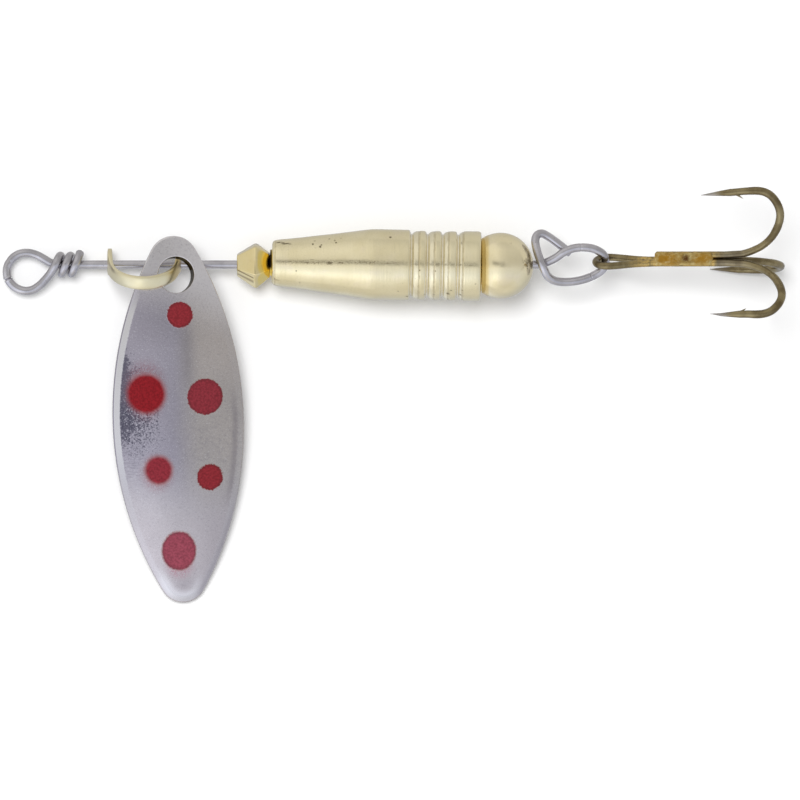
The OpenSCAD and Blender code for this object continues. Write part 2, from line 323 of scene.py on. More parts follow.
def on_shaft(t):
    """Place along the shaft, the two ways across it, and the distance from its axis, in mm."""
    at = in_mm(t)

    def part(axis):
        return add(t, "ShaderNodeVectorMath", {0: at, 1: tuple(axis)}, operation="DOT_PRODUCT").outputs["Value"]
    x, y, z = part(SX), part(SY), part(SZ)
    far = mth(t, "SQRT", mth(t, "ADD", mth(t, "MULTIPLY", y, y), mth(t, "MULTIPLY", z, z)))
    return x, y, z, far


def marks(t, places):
    """Marks at given places: [point on the surface in the shaft frame, length, width, softness, strength]."""
    at = in_mm(t)
    ragged = mth(t, "SUBTRACT", grain(t, at, 8.0, 3, 0.7), 0.5)
    total = None
    for point, long, r, soft, much in places:
        c = tuple(float(x) for x in row(point) * 1000)
        off = add(t, "ShaderNodeVectorMath", {0: at, 1: c}, operation="SUBTRACT").outputs[0]
        off = add(t, "ShaderNodeVectorMath", {0: off, 1: (r / long, 1, 1)}, operation="MULTIPLY").outputs[0]
        d = add(t, "ShaderNodeVectorMath", {0: off}, operation="LENGTH").outputs["Value"]
        m = rise(t, mth(t, "ADD", d, mth(t, "MULTIPLY", ragged, 2.2 * r)), r * (1 - soft), r * (1 + soft), much, 0.0)
        total = m if total is None else mth(t, "MAXIMUM", total, m)
    return total


def plated(name, pale, deep, rough, pit_share, mark_darkness, ripple=0.0012, streak=0.5, placed=(), turned=0.0, extra=None):
    """Pale plated brass with cloudy tone, casting pits, fine turned marks and the listed dark marks, some of which are
    painted reflections.
    """
    m, t, b = material(name)
    v = in_mm(t)
    along = in_mm(t, (3.2, 0.35, 0.35))
    cloud = grain(t, v, 0.32, 3)
    fine = grain(t, v, 5.0, 3, 0.6)
    mark = grain(t, along, 2.4, 3, 0.65)
    wide = grain(t, v, 0.9, 2)
    warm = grain(t, v, 0.55, 3, 0.6)
    dark_marks = spots(t, v, 1.5, pit_share, 0.04, 0.11)
    tiny = spots(t, v, 3.6, pit_share * 1.2, 0.06, 0.17)
    # dark pits and specks; the listed marks joined in below include painted dark reflections on the body and the ball
    dirt_and_reflection_marks = mth(t, "MAXIMUM", mth(t, "MULTIPLY", dark_marks, 0.7), mth(t, "MULTIPLY", tiny, 0.5))
    if placed:
        dirt_and_reflection_marks = mth(t, "MAXIMUM", dirt_and_reflection_marks, marks(t, placed))
    col = blend(t, rise(t, cloud, 0.32, 0.7), pale, deep)
    col = blend(t, mth(t, "MULTIPLY", rise(t, warm, 0.5, 0.72), 0.35), col, (pale[0] * 0.97, pale[1] * 0.94, pale[2] * 1.04))
    col = blend(t, mth(t, "MULTIPLY", rise(t, mark, 0.5, 0.8), 0.3 * streak), col, tuple(0.7 * c for c in deep))
    col = blend(t, mth(t, "MULTIPLY", rise(t, fine, 0.58, 0.78), 0.2), col, tuple(0.58 * c for c in deep))
    if extra:
        col = extra(t, col)
    col = blend(t, mth(t, "MULTIPLY", dirt_and_reflection_marks, mark_darkness), col, (0.1, 0.07, 0.03))
    t.links.new(col, b.inputs["Base Color"])
    r = mth(t, "ADD", rise(t, wide, 0.3, 0.75, rough - 0.035, rough + 0.05), mth(t, "MULTIPLY", dirt_and_reflection_marks, 0.3))
    t.links.new(r, b.inputs["Roughness"])
    layers = [(wide, ripple * 6), (fine, ripple), (mark, ripple * 0.8 * streak), (mth(t, "SUBTRACT", 1.0, dirt_and_reflection_marks), 0.012)]
    if turned:
        layers.append((grain(t, in_mm(t, (1, 0.1, 0.1)), 4.2, 3, 0.6), turned))
    t.links.new(bumps(t, *layers), b.inputs["Normal"])
    b.inputs["Metallic"].default_value = 1.0
    return m


def wire_steel():
    m, t, b = material("drawn_spring_wire")
    v = in_mm(t)
    cloud = grain(t, v, 0.6, 3)
    fine = grain(t, v, 7.0, 3, 0.6)
    spec = spots(t, v, 2.6, 0.16, 0.08, 0.2)
    col = blend(t, rise(t, cloud, 0.3, 0.72), (0.605, 0.585, 0.605), (0.46, 0.445, 0.465))
    col = blend(t, mth(t, "MULTIPLY", rise(t, fine, 0.58, 0.8), 0.35), col, (0.3, 0.29, 0.33))
    col = blend(t, mth(t, "MULTIPLY", spec, 0.5), col, (0.2, 0.18, 0.19))
    t.links.new(col, b.inputs["Base Color"])
    t.links.new(rise(t, cloud, 0.25, 0.75, 0.17, 0.28), b.inputs["Roughness"])
    t.links.new(bumps(t, (cloud, 0.01), (fine, 0.0022)), b.inputs["Normal"])
    b.inputs["Metallic"].default_value = 1.0
    return m


def hook_bronze():
    m, t, b = material("bronzed_hook_steel")
    v = in_mm(t)
    cloud = grain(t, v, 0.75, 3)
    fine = grain(t, v, 6.0, 3, 0.6)
    spec = spots(t, v, 1.35, 0.3, 0.12, 0.3)
    bare = add(t, "ShaderNodeAttribute", attribute_name="bare").outputs["Fac"]
    gilt = add(t, "ShaderNodeAttribute", attribute_name="gilt").outputs["Fac"]
    col = blend(t, rise(t, cloud, 0.34, 0.68), (0.31, 0.25, 0.132), (0.165, 0.126, 0.064))
    col = blend(t, mth(t, "MULTIPLY", rise(t, fine, 0.55, 0.78), 0.3), col, (0.12, 0.09, 0.05))
    col = blend(t, bare, col, blend(t, cloud, (0.46, 0.43, 0.4), (0.28, 0.26, 0.25)))
    film = mth(t, "MULTIPLY", gilt, rise(t, grain(t, v, 1.7, 3, 0.6), 0.38, 0.56, 0.25, 0.95))
    col = blend(t, film, col, (0.6, 0.42, 0.145))
    col = blend(t, mth(t, "MULTIPLY", spec, 0.75), col, (0.13, 0.07, 0.032))
    t.links.new(col, b.inputs["Base Color"])
    t.links.new(rise(t, cloud, 0.25, 0.75, 0.2, 0.33), b.inputs["Roughness"])
    t.links.new(bumps(t, (cloud, 0.014), (fine, 0.003)), b.inputs["Normal"])
    b.inputs["Metallic"].default_value = 1.0
    return m


def braze_metal():
    """Rough brass run round the shanks: amber and pale gold patches with burnt specks."""
    m, t, b = material("mottled_braze")
    v = in_mm(t)
    cloud = grain(t, v, 0.85, 2)
    mottle = grain(t, v, 2.1, 3, 0.6)
    fine = grain(t, v, 5.5, 3, 0.6)
    col = blend(t, rise(t, cloud, 0.38, 0.62), (0.575, 0.445, 0.185), (0.52, 0.375, 0.13))
    col = blend(t, mth(t, "MULTIPLY", rise(t, mottle, 0.48, 0.62), 0.6), col, (0.33, 0.185, 0.04))
    amber = marks(t, [((64.1, 0.52, 1.2), 1.2, 0.5, 0.7, 0.9), ((67.65, 0.55, 1.45), 0.92, 0.46, 0.7, 0.88)])
    col = blend(t, amber, col, (0.47, 0.235, 0.02))
    col = blend(t, mth(t, "MULTIPLY", rise(t, mottle, 0.48, 0.3), 0.72), col, (0.7, 0.575, 0.27))
    col = blend(t, mth(t, "MULTIPLY", rise(t, fine, 0.56, 0.74), 0.5), col, (0.27, 0.15, 0.04))
    burnt = marks(t, [((65.95, 0.58, 1.3), 0.34, 0.36, 0.7, 1.0), ((67.05, 0.75, 1.4), 0.1, 0.1, 0.6, 0.7), ((68.2, 0.4, 1.5), 0.1, 0.12, 0.6, 0.6)])
    burnt = mth(t, "MAXIMUM", burnt, mth(t, "MULTIPLY", spots(t, v, 1.1, 0.18, 0.08, 0.22), 0.7))
    col = blend(t, burnt, col, (0.12, 0.045, 0.012))
    t.links.new(col, b.inputs["Base Color"])
    t.links.new(rise(t, cloud, 0.3, 0.7, 0.3, 0.48), b.inputs["Roughness"])
    t.links.new(bumps(t, (mottle, 0.03), (fine, 0.008)), b.inputs["Normal"])
    b.inputs["Metallic"].default_value = 1.0
    return m


# ---------------------------------------------------------------- shaft wire
WIRE_R = 0.415
eye_route = [
    [3.7, 0, 0], [3.3, 0, 0], [2.9, 0.02, 0], [2.4, 0.2, 0], [1.8, 0.55, 0], [1.1, 0.93, 0],
    [0.2, 1.16, 0], [-0.75, 1.02, 0], [-1.5, 0.45, 0], [-1.9, -0.4, 0],
    [-1.8, -1.4, 0], [-1.2, -2.2, 0], [-0.3, -2.6, 0.03], [0.6, -2.55, 0.08],
    [1.35, -2.1, 0.2], [1.95, -1.5, 0.35], [2.45, -0.9, 0.58]]
rear_route = [
    [50.5, 0, 0], [50.95, 0, 0], [51.4, 0.03, 0], [52.0, 0.2, 0.05], [52.9, 0.62, 0.2], [53.7, 1.17, 0.4],
    [54.55, 1.55, 0.5], [55.5, 1.7, 0.55], [56.6, 1.6, 0.5], [57.45, 1.22, 0.38],
    [57.87, 0.75, 0.17], [57.95, 0.27, -0.05], [57.84, -0.22, -0.25], [57.4, -0.72, -0.38],
    [56.5, -1.22, -0.42], [55.4, -1.58, -0.4], [54.1, -1.74, -0.3], [52.95, -1.64, -0.02],
    [52.2, -1.2, 0.45], [51.8, -0.5, 0.83], [51.5, 0.2, 0.94], [51.2, 1.0, 0.72],
    [50.98, 1.85, 0.38], [50.93, 2.45, 0.12], [51.12, 2.93, -0.1], [51.6, 3.1, -0.28],
    [52.2, 2.82, -0.43], [52.95, 2.3, -0.53], [53.7, 1.72, -0.55], [54.5, 1.08, -0.48], [55.0, 0.7, -0.45]]


def wrap_at(f):
    s, c = math.sin(math.radians(f)), math.cos(math.radians(f))
    lift = max(0.0, (f - 740) / 60)
    return [2.99 + f / 360 + 0.21 * s, (0.88 + 0.3 * lift) * s, (0.88 + 0.1 * lift) * c]


wraps = np.array([wrap_at(f) for f in np.arange(800, -10, -6)])
eye = smooth(eye_route + [wrap_at(-10), wrap_at(10)], 14)[::-1]
shaft = np.array([[x, 0, 0] for x in np.arange(4.0, 50.5, 0.75)])
rear = smooth(rear_route, 14)
wire_path = np.vstack([wraps, eye, shaft, rear])
wire_s = run_length(wire_path)
wire_r = np.full(len(wire_path), WIRE_R)


def nick(at, depth, width, lip=0.0):
    """A tool mark across the wire near a point."""
    i = int(np.argmin(np.linalg.norm(wire_path - np.array(at), axis=1)))
    d = wire_s - wire_s[i]
    wire_r[:] = wire_r - depth * np.exp(-(d / width) ** 2)
    if lip:
        wire_r[:] = wire_r + lip * (np.exp(-((d - 2.2 * width) / width) ** 2) + np.exp(-((d + 2.2 * width) / width) ** 2))


# finer rings where the bending tool has marked the wire
def refine(path, at, reach, gap):
    s = run_length(path)
    i = int(np.argmin(np.linalg.norm(path - np.array(at), axis=1)))
    extra = np.arange(s[i] - reach, s[i] + reach, gap)
    alls = np.unique(np.round(np.concatenate([s, extra]), 5))
    alls = alls[np.concatenate([[True], np.diff(alls) > 0.008])]
    return np.stack([np.interp(alls, s, path[:, k]) for k in range(3)], -1)


tool_marks = [((-1.83, -1.45, 0), 0.11, 0.065, 0.035), ((55.5, 1.7, 0.55), 0.022, 0.07, 0.0),
         ((56.55, -1.2, -0.42), 0.03, 0.06, 0.008), ((-1.62, 0.3, 0), 0.02, 0.14, 0.0)]
for at, *_ in tool_marks:
    wire_path = refine(wire_path, at, 0.7, 0.03)
wire_s = run_length(wire_path)
wire_r = np.full(len(wire_path), WIRE_R)
for at, depth, width, lip in tool_marks:
    nick(at, depth, width, lip)
wv, wf = tube(wire_path, wire_r, 36, bevel=(0.12, 0.1))
piece("spring_wire", wv, wf, wire_steel(), "wire", ["shaft_wire"], 50)

# ---------------------------------------------------------------- clevis
CX, SPAN, RISE, EAR, STRIP = 11.83, 6.9, 4.5, 1.6, 0.5


def strip_hw(s):
    if s < 0.9:
        return math.sqrt(max(0.002, EAR * EAR - s * s))
    return 0.7 + (math.sqrt(EAR * EAR - 0.81) - 0.7) * math.exp(-(s - 0.9) / 0.55)


def strip_low(s, front):
    """Half width on the side towards the blade: a smaller ear that runs smoothly into the strip."""
    if front:
        return 1.05 * math.sqrt(max(0.002, 1 - (s / EAR) ** 2)) if s < 0 else 0.7 + 0.35 * math.exp(-(s / 0.75) ** 2)
    if s < 0:
        return max(0.04, 0.74 * math.sqrt(max(0.0, 1 - (s / EAR) ** 2)))
    return 0.7 - 0.2 * math.exp(-((s - 1.1) / 0.9) ** 2) + 0.085 * math.exp(-(s / 0.4) ** 2)


stations = [(CX - SPAN / 2, -EAR * math.sin(math.radians(a)), 90) for a in range(88, 0, -4)]
for f in np.arange(0, 180.1, 2.0):
    c, s = math.cos(math.radians(f)), math.sin(math.radians(f))
    stations.append((CX - SPAN / 2 * c, RISE * s, math.degrees(math.atan2(RISE * c, SPAN / 2 * s))))
stations += [(CX + SPAN / 2, -EAR * math.sin(math.radians(a)), -90) for a in range(4, 89, 4)]
ring = 32
cv, turn = [], rot_x(25)
for x, s, slope in stations:
    w, w_low = strip_hw(s), min(strip_low(s, x < CX), strip_hw(s))
    nx, ns = -math.sin(math.radians(slope)), math.cos(math.radians(slope))
    for k in range(ring):
        a = 2 * math.pi * (k + 0.5) / ring
        ca, sa = math.cos(a), math.sin(a)
        e = 0.5 - 0.2 * float(step(0.9, 1.4, w)) if w > 0.5 else 0.5 + 0.5 * (0.5 - w)
        y = (w if ca > 0 else w_low) * math.copysign(abs(ca) ** e, ca)
        h = STRIP / 2 * math.copysign(abs(sa) ** e, sa)
        if h > 0:
            h -= (0.07 - 0.045 * float(step(0.9, 1.4, w))) * (y / w) ** 2 * h / (STRIP / 2)
        cv.append(turn @ np.array([x + nx * h, y, s + ns * h]))
m = len(stations)
cf = [(i * ring + k, i * ring + (k + 1) % ring, (i + 1) * ring + (k + 1) % ring, (i + 1) * ring + k)
      for i in range(m - 1) for k in range(ring)]
cf += [tuple(range(ring - 1, -1, -1)), tuple((m - 1) * ring + k for k in range(ring))]


def rod(x0, x1, r, segs=48):
    a = np.arange(segs) * 2 * math.pi / segs
    v = [[x, r * math.cos(q), r * math.sin(q)] for x in (x0, x1) for q in a]
    f = [(k, (k + 1) % segs, segs + (k + 1) % segs, segs + k) for k in range(segs)]
    return np.array(v), f + [tuple(range(segs - 1, -1, -1)), tuple(range(segs, 2 * segs))]


def clevis_painted_shade(t, col):
    """Painted shade: deeper gold on the ear that passes through the blade, for its darker reflection."""
    x, y, z, far = on_shaft(t)
    return blend(t, rise(t, x, 13.9, 15.0, 0.0, 0.8), col, (0.6, 0.46, 0.2))


cv, cf = combine((np.array(cv), cf), [rod(CX - SPAN / 2 - 2, CX + SPAN / 2 + 2, 0.5)], "DIFFERENCE")
piece("clevis_strip", cv, cf, plated("clevis_brass", (0.87, 0.795, 0.55), (0.82, 0.735, 0.47), 0.31, 0.03, 0.5, 0.001, 0.2, extra=clevis_painted_shade),
      "clevis", ["clevis"], 42)

# ---------------------------------------------------------------- blade
HW, SHEET, HOLE = 6.56, 0.6, 1.8
TOP, MID, TIP = 3.82, -14.7, -33.0
FU, FD = 36.0, 34.5
SHIFT = -0.16
ACROSS, ALONG = 16.3, 122.0


def end_r(flank, reach):
    o = flank - HW
    return (flank * flank - o * o - reach * reach) / (2 * (flank - reach))


TOP_R, TIP_R = end_r(FU, TOP - MID), end_r(FD, MID - TIP)
top_a = math.atan2(TOP - TOP_R - MID, FU - HW)
tip_a = math.atan2(MID - TIP - TIP_R, FD - HW)
FALL = ALONG - math.sqrt(ALONG ** 2 - MID ** 2)
BLADE_AT, BLADE_TURN = np.array([15, -1, 1.75]), rot_z(2.2) @ rot_y(6) @ rot_x(6)


def outline(count):
    """Evenly spaced points round the blade's edge, with the outward direction at each."""
    arcs = [((0, TOP - TOP_R), TOP_R, math.pi / 2, top_a), ((HW - FU, MID), FU, top_a, 0),
            ((HW - FD, MID), FD, 0, -tip_a), ((0, TIP + TIP_R), TIP_R, -tip_a, -math.pi / 2)]
    P, N = [], []
    for (cx, cy), r, a0, a1 in arcs:
        for k in range(400):
            a = a0 + (a1 - a0) * k / 400
            N.append((math.cos(a), math.sin(a)))
            P.append((cx + r * N[-1][0], cy + r * N[-1][1]))
    P, N = np.array(P), np.array(N)
    P = np.vstack([P, [[0, TIP]], (P * [-1, 1])[:0:-1]])
    N = np.vstack([N, [[0, -1]], (N * [-1, 1])[:0:-1]])
    loop = np.vstack([P, P[:1]])
    s = np.concatenate([[0], np.cumsum(np.linalg.norm(np.diff(loop, axis=0), axis=1))])
    at = np.arange(count) * s[-1] / count
    Nl = np.vstack([N, N[:1]])
    return (np.stack([np.interp(at, s, loop[:, k]) for k in (0, 1)], -1) + [SHIFT, 0],
            unit(np.stack([np.interp(at, s, Nl[:, k]) for k in (0, 1)], -1)))


edge_n = 460
EDGE, EDGE_OUT = outline(edge_n)
dense, _ = outline(4000)


def from_edge(uv):
    out = np.empty(len(uv))
    for i in range(0, len(uv), 500):
        d = np.linalg.norm(uv[i:i + 500, None] - dense[None], axis=2)
        out[i:i + 500] = d.min(1)
    return out


def dish(u, v, r):
    rho = ALONG - ACROSS + np.sqrt(r * r - u * u)
    return np.sqrt(rho * rho - (v - MID) ** 2) - ALONG + FALL + SHEET


RIM, COIN = 0.68, 0.25


def rim_share(uv):
    """How plainly the coined edge shows: strong down the left, faint on the right, none at the hole end."""
    u, v = uv[:, 0] - SHIFT, uv[:, 1]
    left = step(-0.8, -4.2, v) * (1 - 0.8 * step(-16.5, -24, v))
    right = 0.12 * step(-2, -7, v) + 0.12 * step(-13, -18, v) * step(-28, -23, v)
    tip = 0.6 * step(-29.0, -31.6, v) * (1 - step(0.4, 2.4, u))
    return np.maximum(np.where(u < 0, left, right) * step(0, 0.8, np.abs(u)), tip)


def top_of(uv, d):
    u, v = uv[:, 0], uv[:, 1]
    w = dish(u, v, ACROSS)
    # the edge is coined: it falls away a little faster outside a crisp line
    x = RIM - d
    soft = 0.16
    fall = np.where(x > soft, x - soft / 2, np.where(x > 0, x * x / (2 * soft), 0))
    w = w - COIN * fall * rim_share(uv)
    # a faint crease across the tip and slow unevenness from the press
    r = np.hypot(u - 0.75, (v + 30.2) * 1.1)
    a = np.abs(np.arctan2(u - 0.75, -(v + 30.2)))
    w = w - 0.02 * np.exp(-((r - 1.35) / 0.14) ** 2) * (1 - step(0.5, 1.0, a))
    bow = np.array([lump((p[0], p[1], 0), 0.28, 3.1) for p in uv])
    return w + 0.012 * bow * step(0.4, 1.2, d)


def under_of(uv):
    return dish(uv[:, 0], uv[:, 1], ACROSS - SHEET)


EDGE_R = 0.12
insets = [EDGE_R, 0.22, 0.34, 0.46, 0.54, 0.6, 0.65, 0.7, 0.78]
rings_out = [EDGE - d * EDGE_OUT for d in insets]
hole_n = 120
ha = np.arange(hole_n) * 2 * math.pi / hole_n
hole_dir = np.stack([np.cos(ha), np.sin(ha)], -1)
lips = [0.07, 0.12, 0.2]
rings_in = [(HOLE + d) * hole_dir for d in lips]
# even points between the two bands
gap = 0.2
us, vs = np.arange(-6.9, 6.9, gap), np.arange(TIP, TOP, gap * 0.866)
grid = np.array([(u + (gap / 2 if j % 2 else 0), v) for j, v in enumerate(vs) for u in us])
gd = from_edge(grid)


def inside_edge(uv):
    v = np.clip(uv[:, 1], TIP, TOP)
    hw = np.interp(v, *np.array(sorted((q[1], q[0] - SHIFT) for q in dense if q[0] >= SHIFT)).T)
    return np.abs(uv[:, 0] - SHIFT) < hw


grid = grid[(gd > insets[-1] + 0.11) & inside_edge(grid) & (np.hypot(grid[:, 0], grid[:, 1]) > HOLE + lips[-1] + 0.11)]
flat = np.vstack([rings_out[-1], rings_in[-1], grid])
loops = [(i, (i + 1) % edge_n) for i in range(edge_n)] + [(edge_n + i, edge_n + (i + 1) % hole_n) for i in range(hole_n)]
found = delaunay_2d_cdt([Vector(p) for p in flat], loops, [], 0, 1e-7)
back = [o[0] for o in found[3]]
middle = []
for f in found[2]:
    f = [back[i] for i in f]
    c = flat[f].mean(0)
    if math.hypot(*c) > HOLE + lips[-1] * 0.98:
        middle.append(f)
# one flat layout of points: outer rings, hole rings, middle
layout = np.vstack(rings_out + rings_in + [grid])
n_out, n_in = len(rings_out), len(rings_in)
base_in = n_out * edge_n
base_mid = base_in + n_in * hole_n


def spot(i):
    if i < edge_n:
        return (n_out - 1) * edge_n + i
    if i < edge_n + hole_n:
        return base_in + (n_in - 1) * hole_n + i - edge_n
    return base_mid + i - edge_n - hole_n


sheet = [tuple(spot(i) for i in f) for f in middle]
sheet += [(r * edge_n + k, r * edge_n + (k + 1) % edge_n, (r + 1) * edge_n + (k + 1) % edge_n, (r + 1) * edge_n + k)
          for r in range(n_out - 1) for k in range(edge_n)]
sheet += [(base_in + r * hole_n + k, base_in + r * hole_n + (k + 1) % hole_n,
           base_in + (r + 1) * hole_n + (k + 1) % hole_n, base_in + (r + 1) * hole_n + k)
          for r in range(n_in - 1) for k in range(hole_n)]
layout_d = from_edge(layout)
N = len(layout)
up = np.column_stack([layout, top_of(layout, layout_d)])
# the hole is punched a little aslant, so its wall shows on one side
far_hole = np.linalg.norm(layout, axis=1)
pull = step(3.4, HOLE, far_hole)[:, None]
lower = layout + pull * (np.array([-0.24, -0.17]) - 0.06 * unit(layout))
dn = np.column_stack([lower, under_of(lower)])
bverts, bfaces = [up, dn], list(sheet) + [tuple(i + N for i in f[::-1]) for f in sheet]


def wall(i0, count, centre_out, radius):
    """Joins the top sheet to the bottom one round an edge with rounded corners."""
    global bverts, bfaces
    a, b = up[i0:i0 + count], dn[i0:i0 + count]
    rows = [i0 + np.arange(count)]
    start = sum(len(x) for x in bverts)
    steps = [(math.sin(q), 1 - math.cos(q), None) for q in np.radians([22, 45, 68, 90])]
    new = []
    for sn, fall, _ in steps:
        new.append(np.column_stack([a[:, :2] + radius * sn * centre_out, a[:, 2] - radius * fall]))
    for sn, fall, _ in steps[::-1]:
        new.append(np.column_stack([b[:, :2] + radius * sn * centre_out, b[:, 2] + radius * fall]))
    for k, q in enumerate(new):
        bverts.append(q)
        rows.append(start + k * count + np.arange(count))
    rows.append(N + i0 + np.arange(count))
    for p, q in zip(rows[:-1], rows[1:]):
        bfaces += [(int(p[k]), int(q[k]), int(q[(k + 1) % count]), int(p[(k + 1) % count])) for k in range(count)]


wall(0, edge_n, EDGE_OUT, EDGE_R)
wall(base_in, hole_n, -hole_dir, lips[0])
blade_local = np.vstack(bverts)
rim_d = np.concatenate([layout_d, layout_d, np.zeros(len(blade_local) - 2 * N)])
face_up = np.concatenate([np.ones(N), np.zeros(len(blade_local) - N)])
bore_wall = np.zeros(len(blade_local))
bore_wall[-6 * hole_n:] = 1
rim_w = np.concatenate([rim_share(layout), np.zeros(len(blade_local) - N)])


def on_blade(px, py):
    """Blade coordinates of a place seen at a pixel of the 800 x 800 picture."""
    want = np.array([(px - 26) / 10, (264.5 - py) / 10]) - BLADE_AT[:2]
    uv = np.zeros(2)
    for _ in range(8):
        w = float(dish(uv[0], uv[1], ACROSS))
        uv = np.linalg.solve(BLADE_TURN[:2, :2], want - BLADE_TURN[:2, 2] * w)
    return uv


def blade_finish_and_painted_light():
    m, t, b = material("silvered_blade")
    at = add(t, "ShaderNodeAttribute", attribute_name="place").outputs["Vector"]
    rim = add(t, "ShaderNodeAttribute", attribute_name="rim").outputs["Fac"]
    front = add(t, "ShaderNodeAttribute", attribute_name="front").outputs["Fac"]
    xyz = add(t, "ShaderNodeSeparateXYZ", {0: at})
    u, v = xyz.outputs[0], xyz.outputs[1]
    cloud = grain(t, at, 0.22, 3)
    peel = grain(t, at, 4.6, 2, 0.55)
    peel2 = grain(t, at, 9.0, 2, 0.5)
    sand = grain(t, at, 6.6, 3, 0.7)
    fleck = grain(t, at, 5.6, 3, 0.65)
    fleck2 = grain(t, add(t, "ShaderNodeVectorMath", {0: at, 1: (17.3, 5.1, 2.2)}, operation="ADD").outputs[0], 7.6, 2, 0.6)
    glint = spots(t, at, 2.4, 0.12, 0.05, 0.14)

    def lobe(x, mid, wide):
        q = mth(t, "DIVIDE", mth(t, "SUBTRACT", x, mid), wide)
        return mth(t, "EXPONENT", mth(t, "MULTIPLY", mth(t, "MULTIPLY", q, q), -1.0))
    # painted reflections in the silver: cooler and darker left of the ridge than right of it
    side = rise(t, mth(t, "ADD", u, mth(t, "MULTIPLY", mth(t, "SUBTRACT", cloud, 0.5), 1.6)), -1.0, 2.4)
    low = rise(t, mth(t, "ADD", v, mth(t, "MULTIPLY", u, 0.15)), -17.5, -25.0)
    warm = blend(t, rise(t, v, -14.0, -8.0), (0.49, 0.448, 0.415), (0.545, 0.495, 0.46))
    col = blend(t, side, (0.372, 0.345, 0.392), warm)
    # painted sheen: a lighter band left of the ridge, upper part
    painted_sheen = mth(t, "MULTIPLY", lobe(u, -0.6, 2.4), mth(t, "MULTIPLY", rise(t, v, -14.0, -7.0), 0.4))
    col = blend(t, mth(t, "MULTIPLY", painted_sheen, mth(t, "SUBTRACT", 1.0, side)), col, (0.51, 0.48, 0.54))
    # painted light: the ear much lighter
    col = blend(t, rise(t, mth(t, "ADD", v, mth(t, "MULTIPLY", u, 0.35)), -5.5, 0.6), col, (0.80, 0.765, 0.77))
    # painted light: the lower part lighter, more so towards the tip, and painted shade on its right
    col = blend(t, low, col, blend(t, rise(t, v, -21.5, -28.0), (0.552, 0.511, 0.52), (0.605, 0.547, 0.549)))
    col = blend(t, mth(t, "MULTIPLY", low, rise(t, u, 0.8, 3.4, 0.0, 0.24)), col, (0.4, 0.36, 0.372))
    # painted shade: a dark line down the ridge
    ridge_shade = mth(t, "MULTIPLY", lobe(mth(t, "ADD", u, mth(t, "MULTIPLY", mth(t, "SUBTRACT", peel, 0.5), 0.9)), 0.8, 0.65),
                mth(t, "MULTIPLY", rise(t, v, -4.5, -6.5), rise(t, v, -12.5, -9.5)))
    col = blend(t, mth(t, "MULTIPLY", ridge_shade, 0.3), col, (0.2, 0.185, 0.2))
    col = blend(t, mth(t, "MULTIPLY", rise(t, cloud, 0.42, 0.72), 0.14), col, (0.3, 0.285, 0.31))
    col = blend(t, mth(t, "MULTIPLY", rise(t, peel, 0.5, 0.72), 0.12), col, (0.22, 0.21, 0.24))
    col = blend(t, mth(t, "MULTIPLY", rise(t, sand, 0.54, 0.74), 0.36), col, (0.2, 0.19, 0.22))
    col = blend(t, mth(t, "MULTIPLY", rise(t, sand, 0.46, 0.28), 0.28), col, (0.82, 0.81, 0.83))
    # dull mottling across the middle, right of the ridge
    dull = grain(t, at, 2.0, 4, 0.72)
    across = mth(t, "MULTIPLY", lobe(v, -17.0, 3.6), rise(t, u, -2.2, 0.4))
    col = blend(t, mth(t, "MULTIPLY", mth(t, "MULTIPLY", across, rise(t, dull, 0.48, 0.66)), 0.3), col, (0.25, 0.23, 0.255))
    # painted dark reflection beside the left rim, broken lower down into painted dark specks and bright flecks
    near = mth(t, "MULTIPLY", rise(t, v, -6.4, -9.0), rise(t, v, -18.5, -14.5))
    reach = rise(t, v, -7.0, -13.5, 0.5, 2.2)
    blot = grain(t, at, 1.9, 3, 0.65)
    inside = mth(t, "MULTIPLY", rise(t, rim, RIM - 0.06, RIM + 0.05), mth(t, "MULTIPLY", front, mth(t, "LESS_THAN", u, 0.0)))
    dark_reflection = mth(t, "EXPONENT", mth(t, "MULTIPLY", mth(t, "DIVIDE", mth(t, "SUBTRACT", rim, RIM), reach), -1.0))
    dark_reflection = mth(t, "MULTIPLY", mth(t, "MULTIPLY", dark_reflection, near), inside)
    patchy = mth(t, "ADD", mth(t, "MULTIPLY", mth(t, "SUBTRACT", fleck, 0.5), 1.2), mth(t, "MULTIPLY", mth(t, "SUBTRACT", blot, 0.5), 1.6))
    reflection_specks = mth(t, "MULTIPLY", rise(t, mth(t, "ADD", dark_reflection, patchy), 0.28, 0.6), rise(t, dark_reflection, 0.02, 0.2))
    col = blend(t, mth(t, "MULTIPLY", dark_reflection, 0.3), col, (0.2, 0.19, 0.23))
    col = blend(t, mth(t, "MULTIPLY", reflection_specks, 0.8), col, (0.085, 0.078, 0.112))
    zone = mth(t, "MULTIPLY", mth(t, "MULTIPLY", rise(t, v, -11.0, -13.6), rise(t, v, -20.0, -14.6)), mth(t, "MULTIPLY", rise(t, rim, 6.2, 2.2), inside))
    sparse = mth(t, "ADD", mth(t, "ADD", fleck, mth(t, "MULTIPLY", mth(t, "SUBTRACT", zone, 1.0), 0.2)), mth(t, "MULTIPLY", mth(t, "SUBTRACT", blot, 0.5), 0.25))
    col = blend(t, mth(t, "MULTIPLY", mth(t, "MULTIPLY", rise(t, sparse, 0.41, 0.55), rise(t, zone, 0.0, 0.25)), 0.8), col, (0.085, 0.08, 0.11))
    # painted glints: bright flecks in the speckled zone
    glint_flecks = mth(t, "MULTIPLY", rise(t, fleck2, 0.57, 0.65), mth(t, "MAXIMUM", zone, mth(t, "MULTIPLY", dark_reflection, 0.5)))
    col = blend(t, mth(t, "MULTIPLY", glint_flecks, 0.42), col, (0.8, 0.79, 0.83))
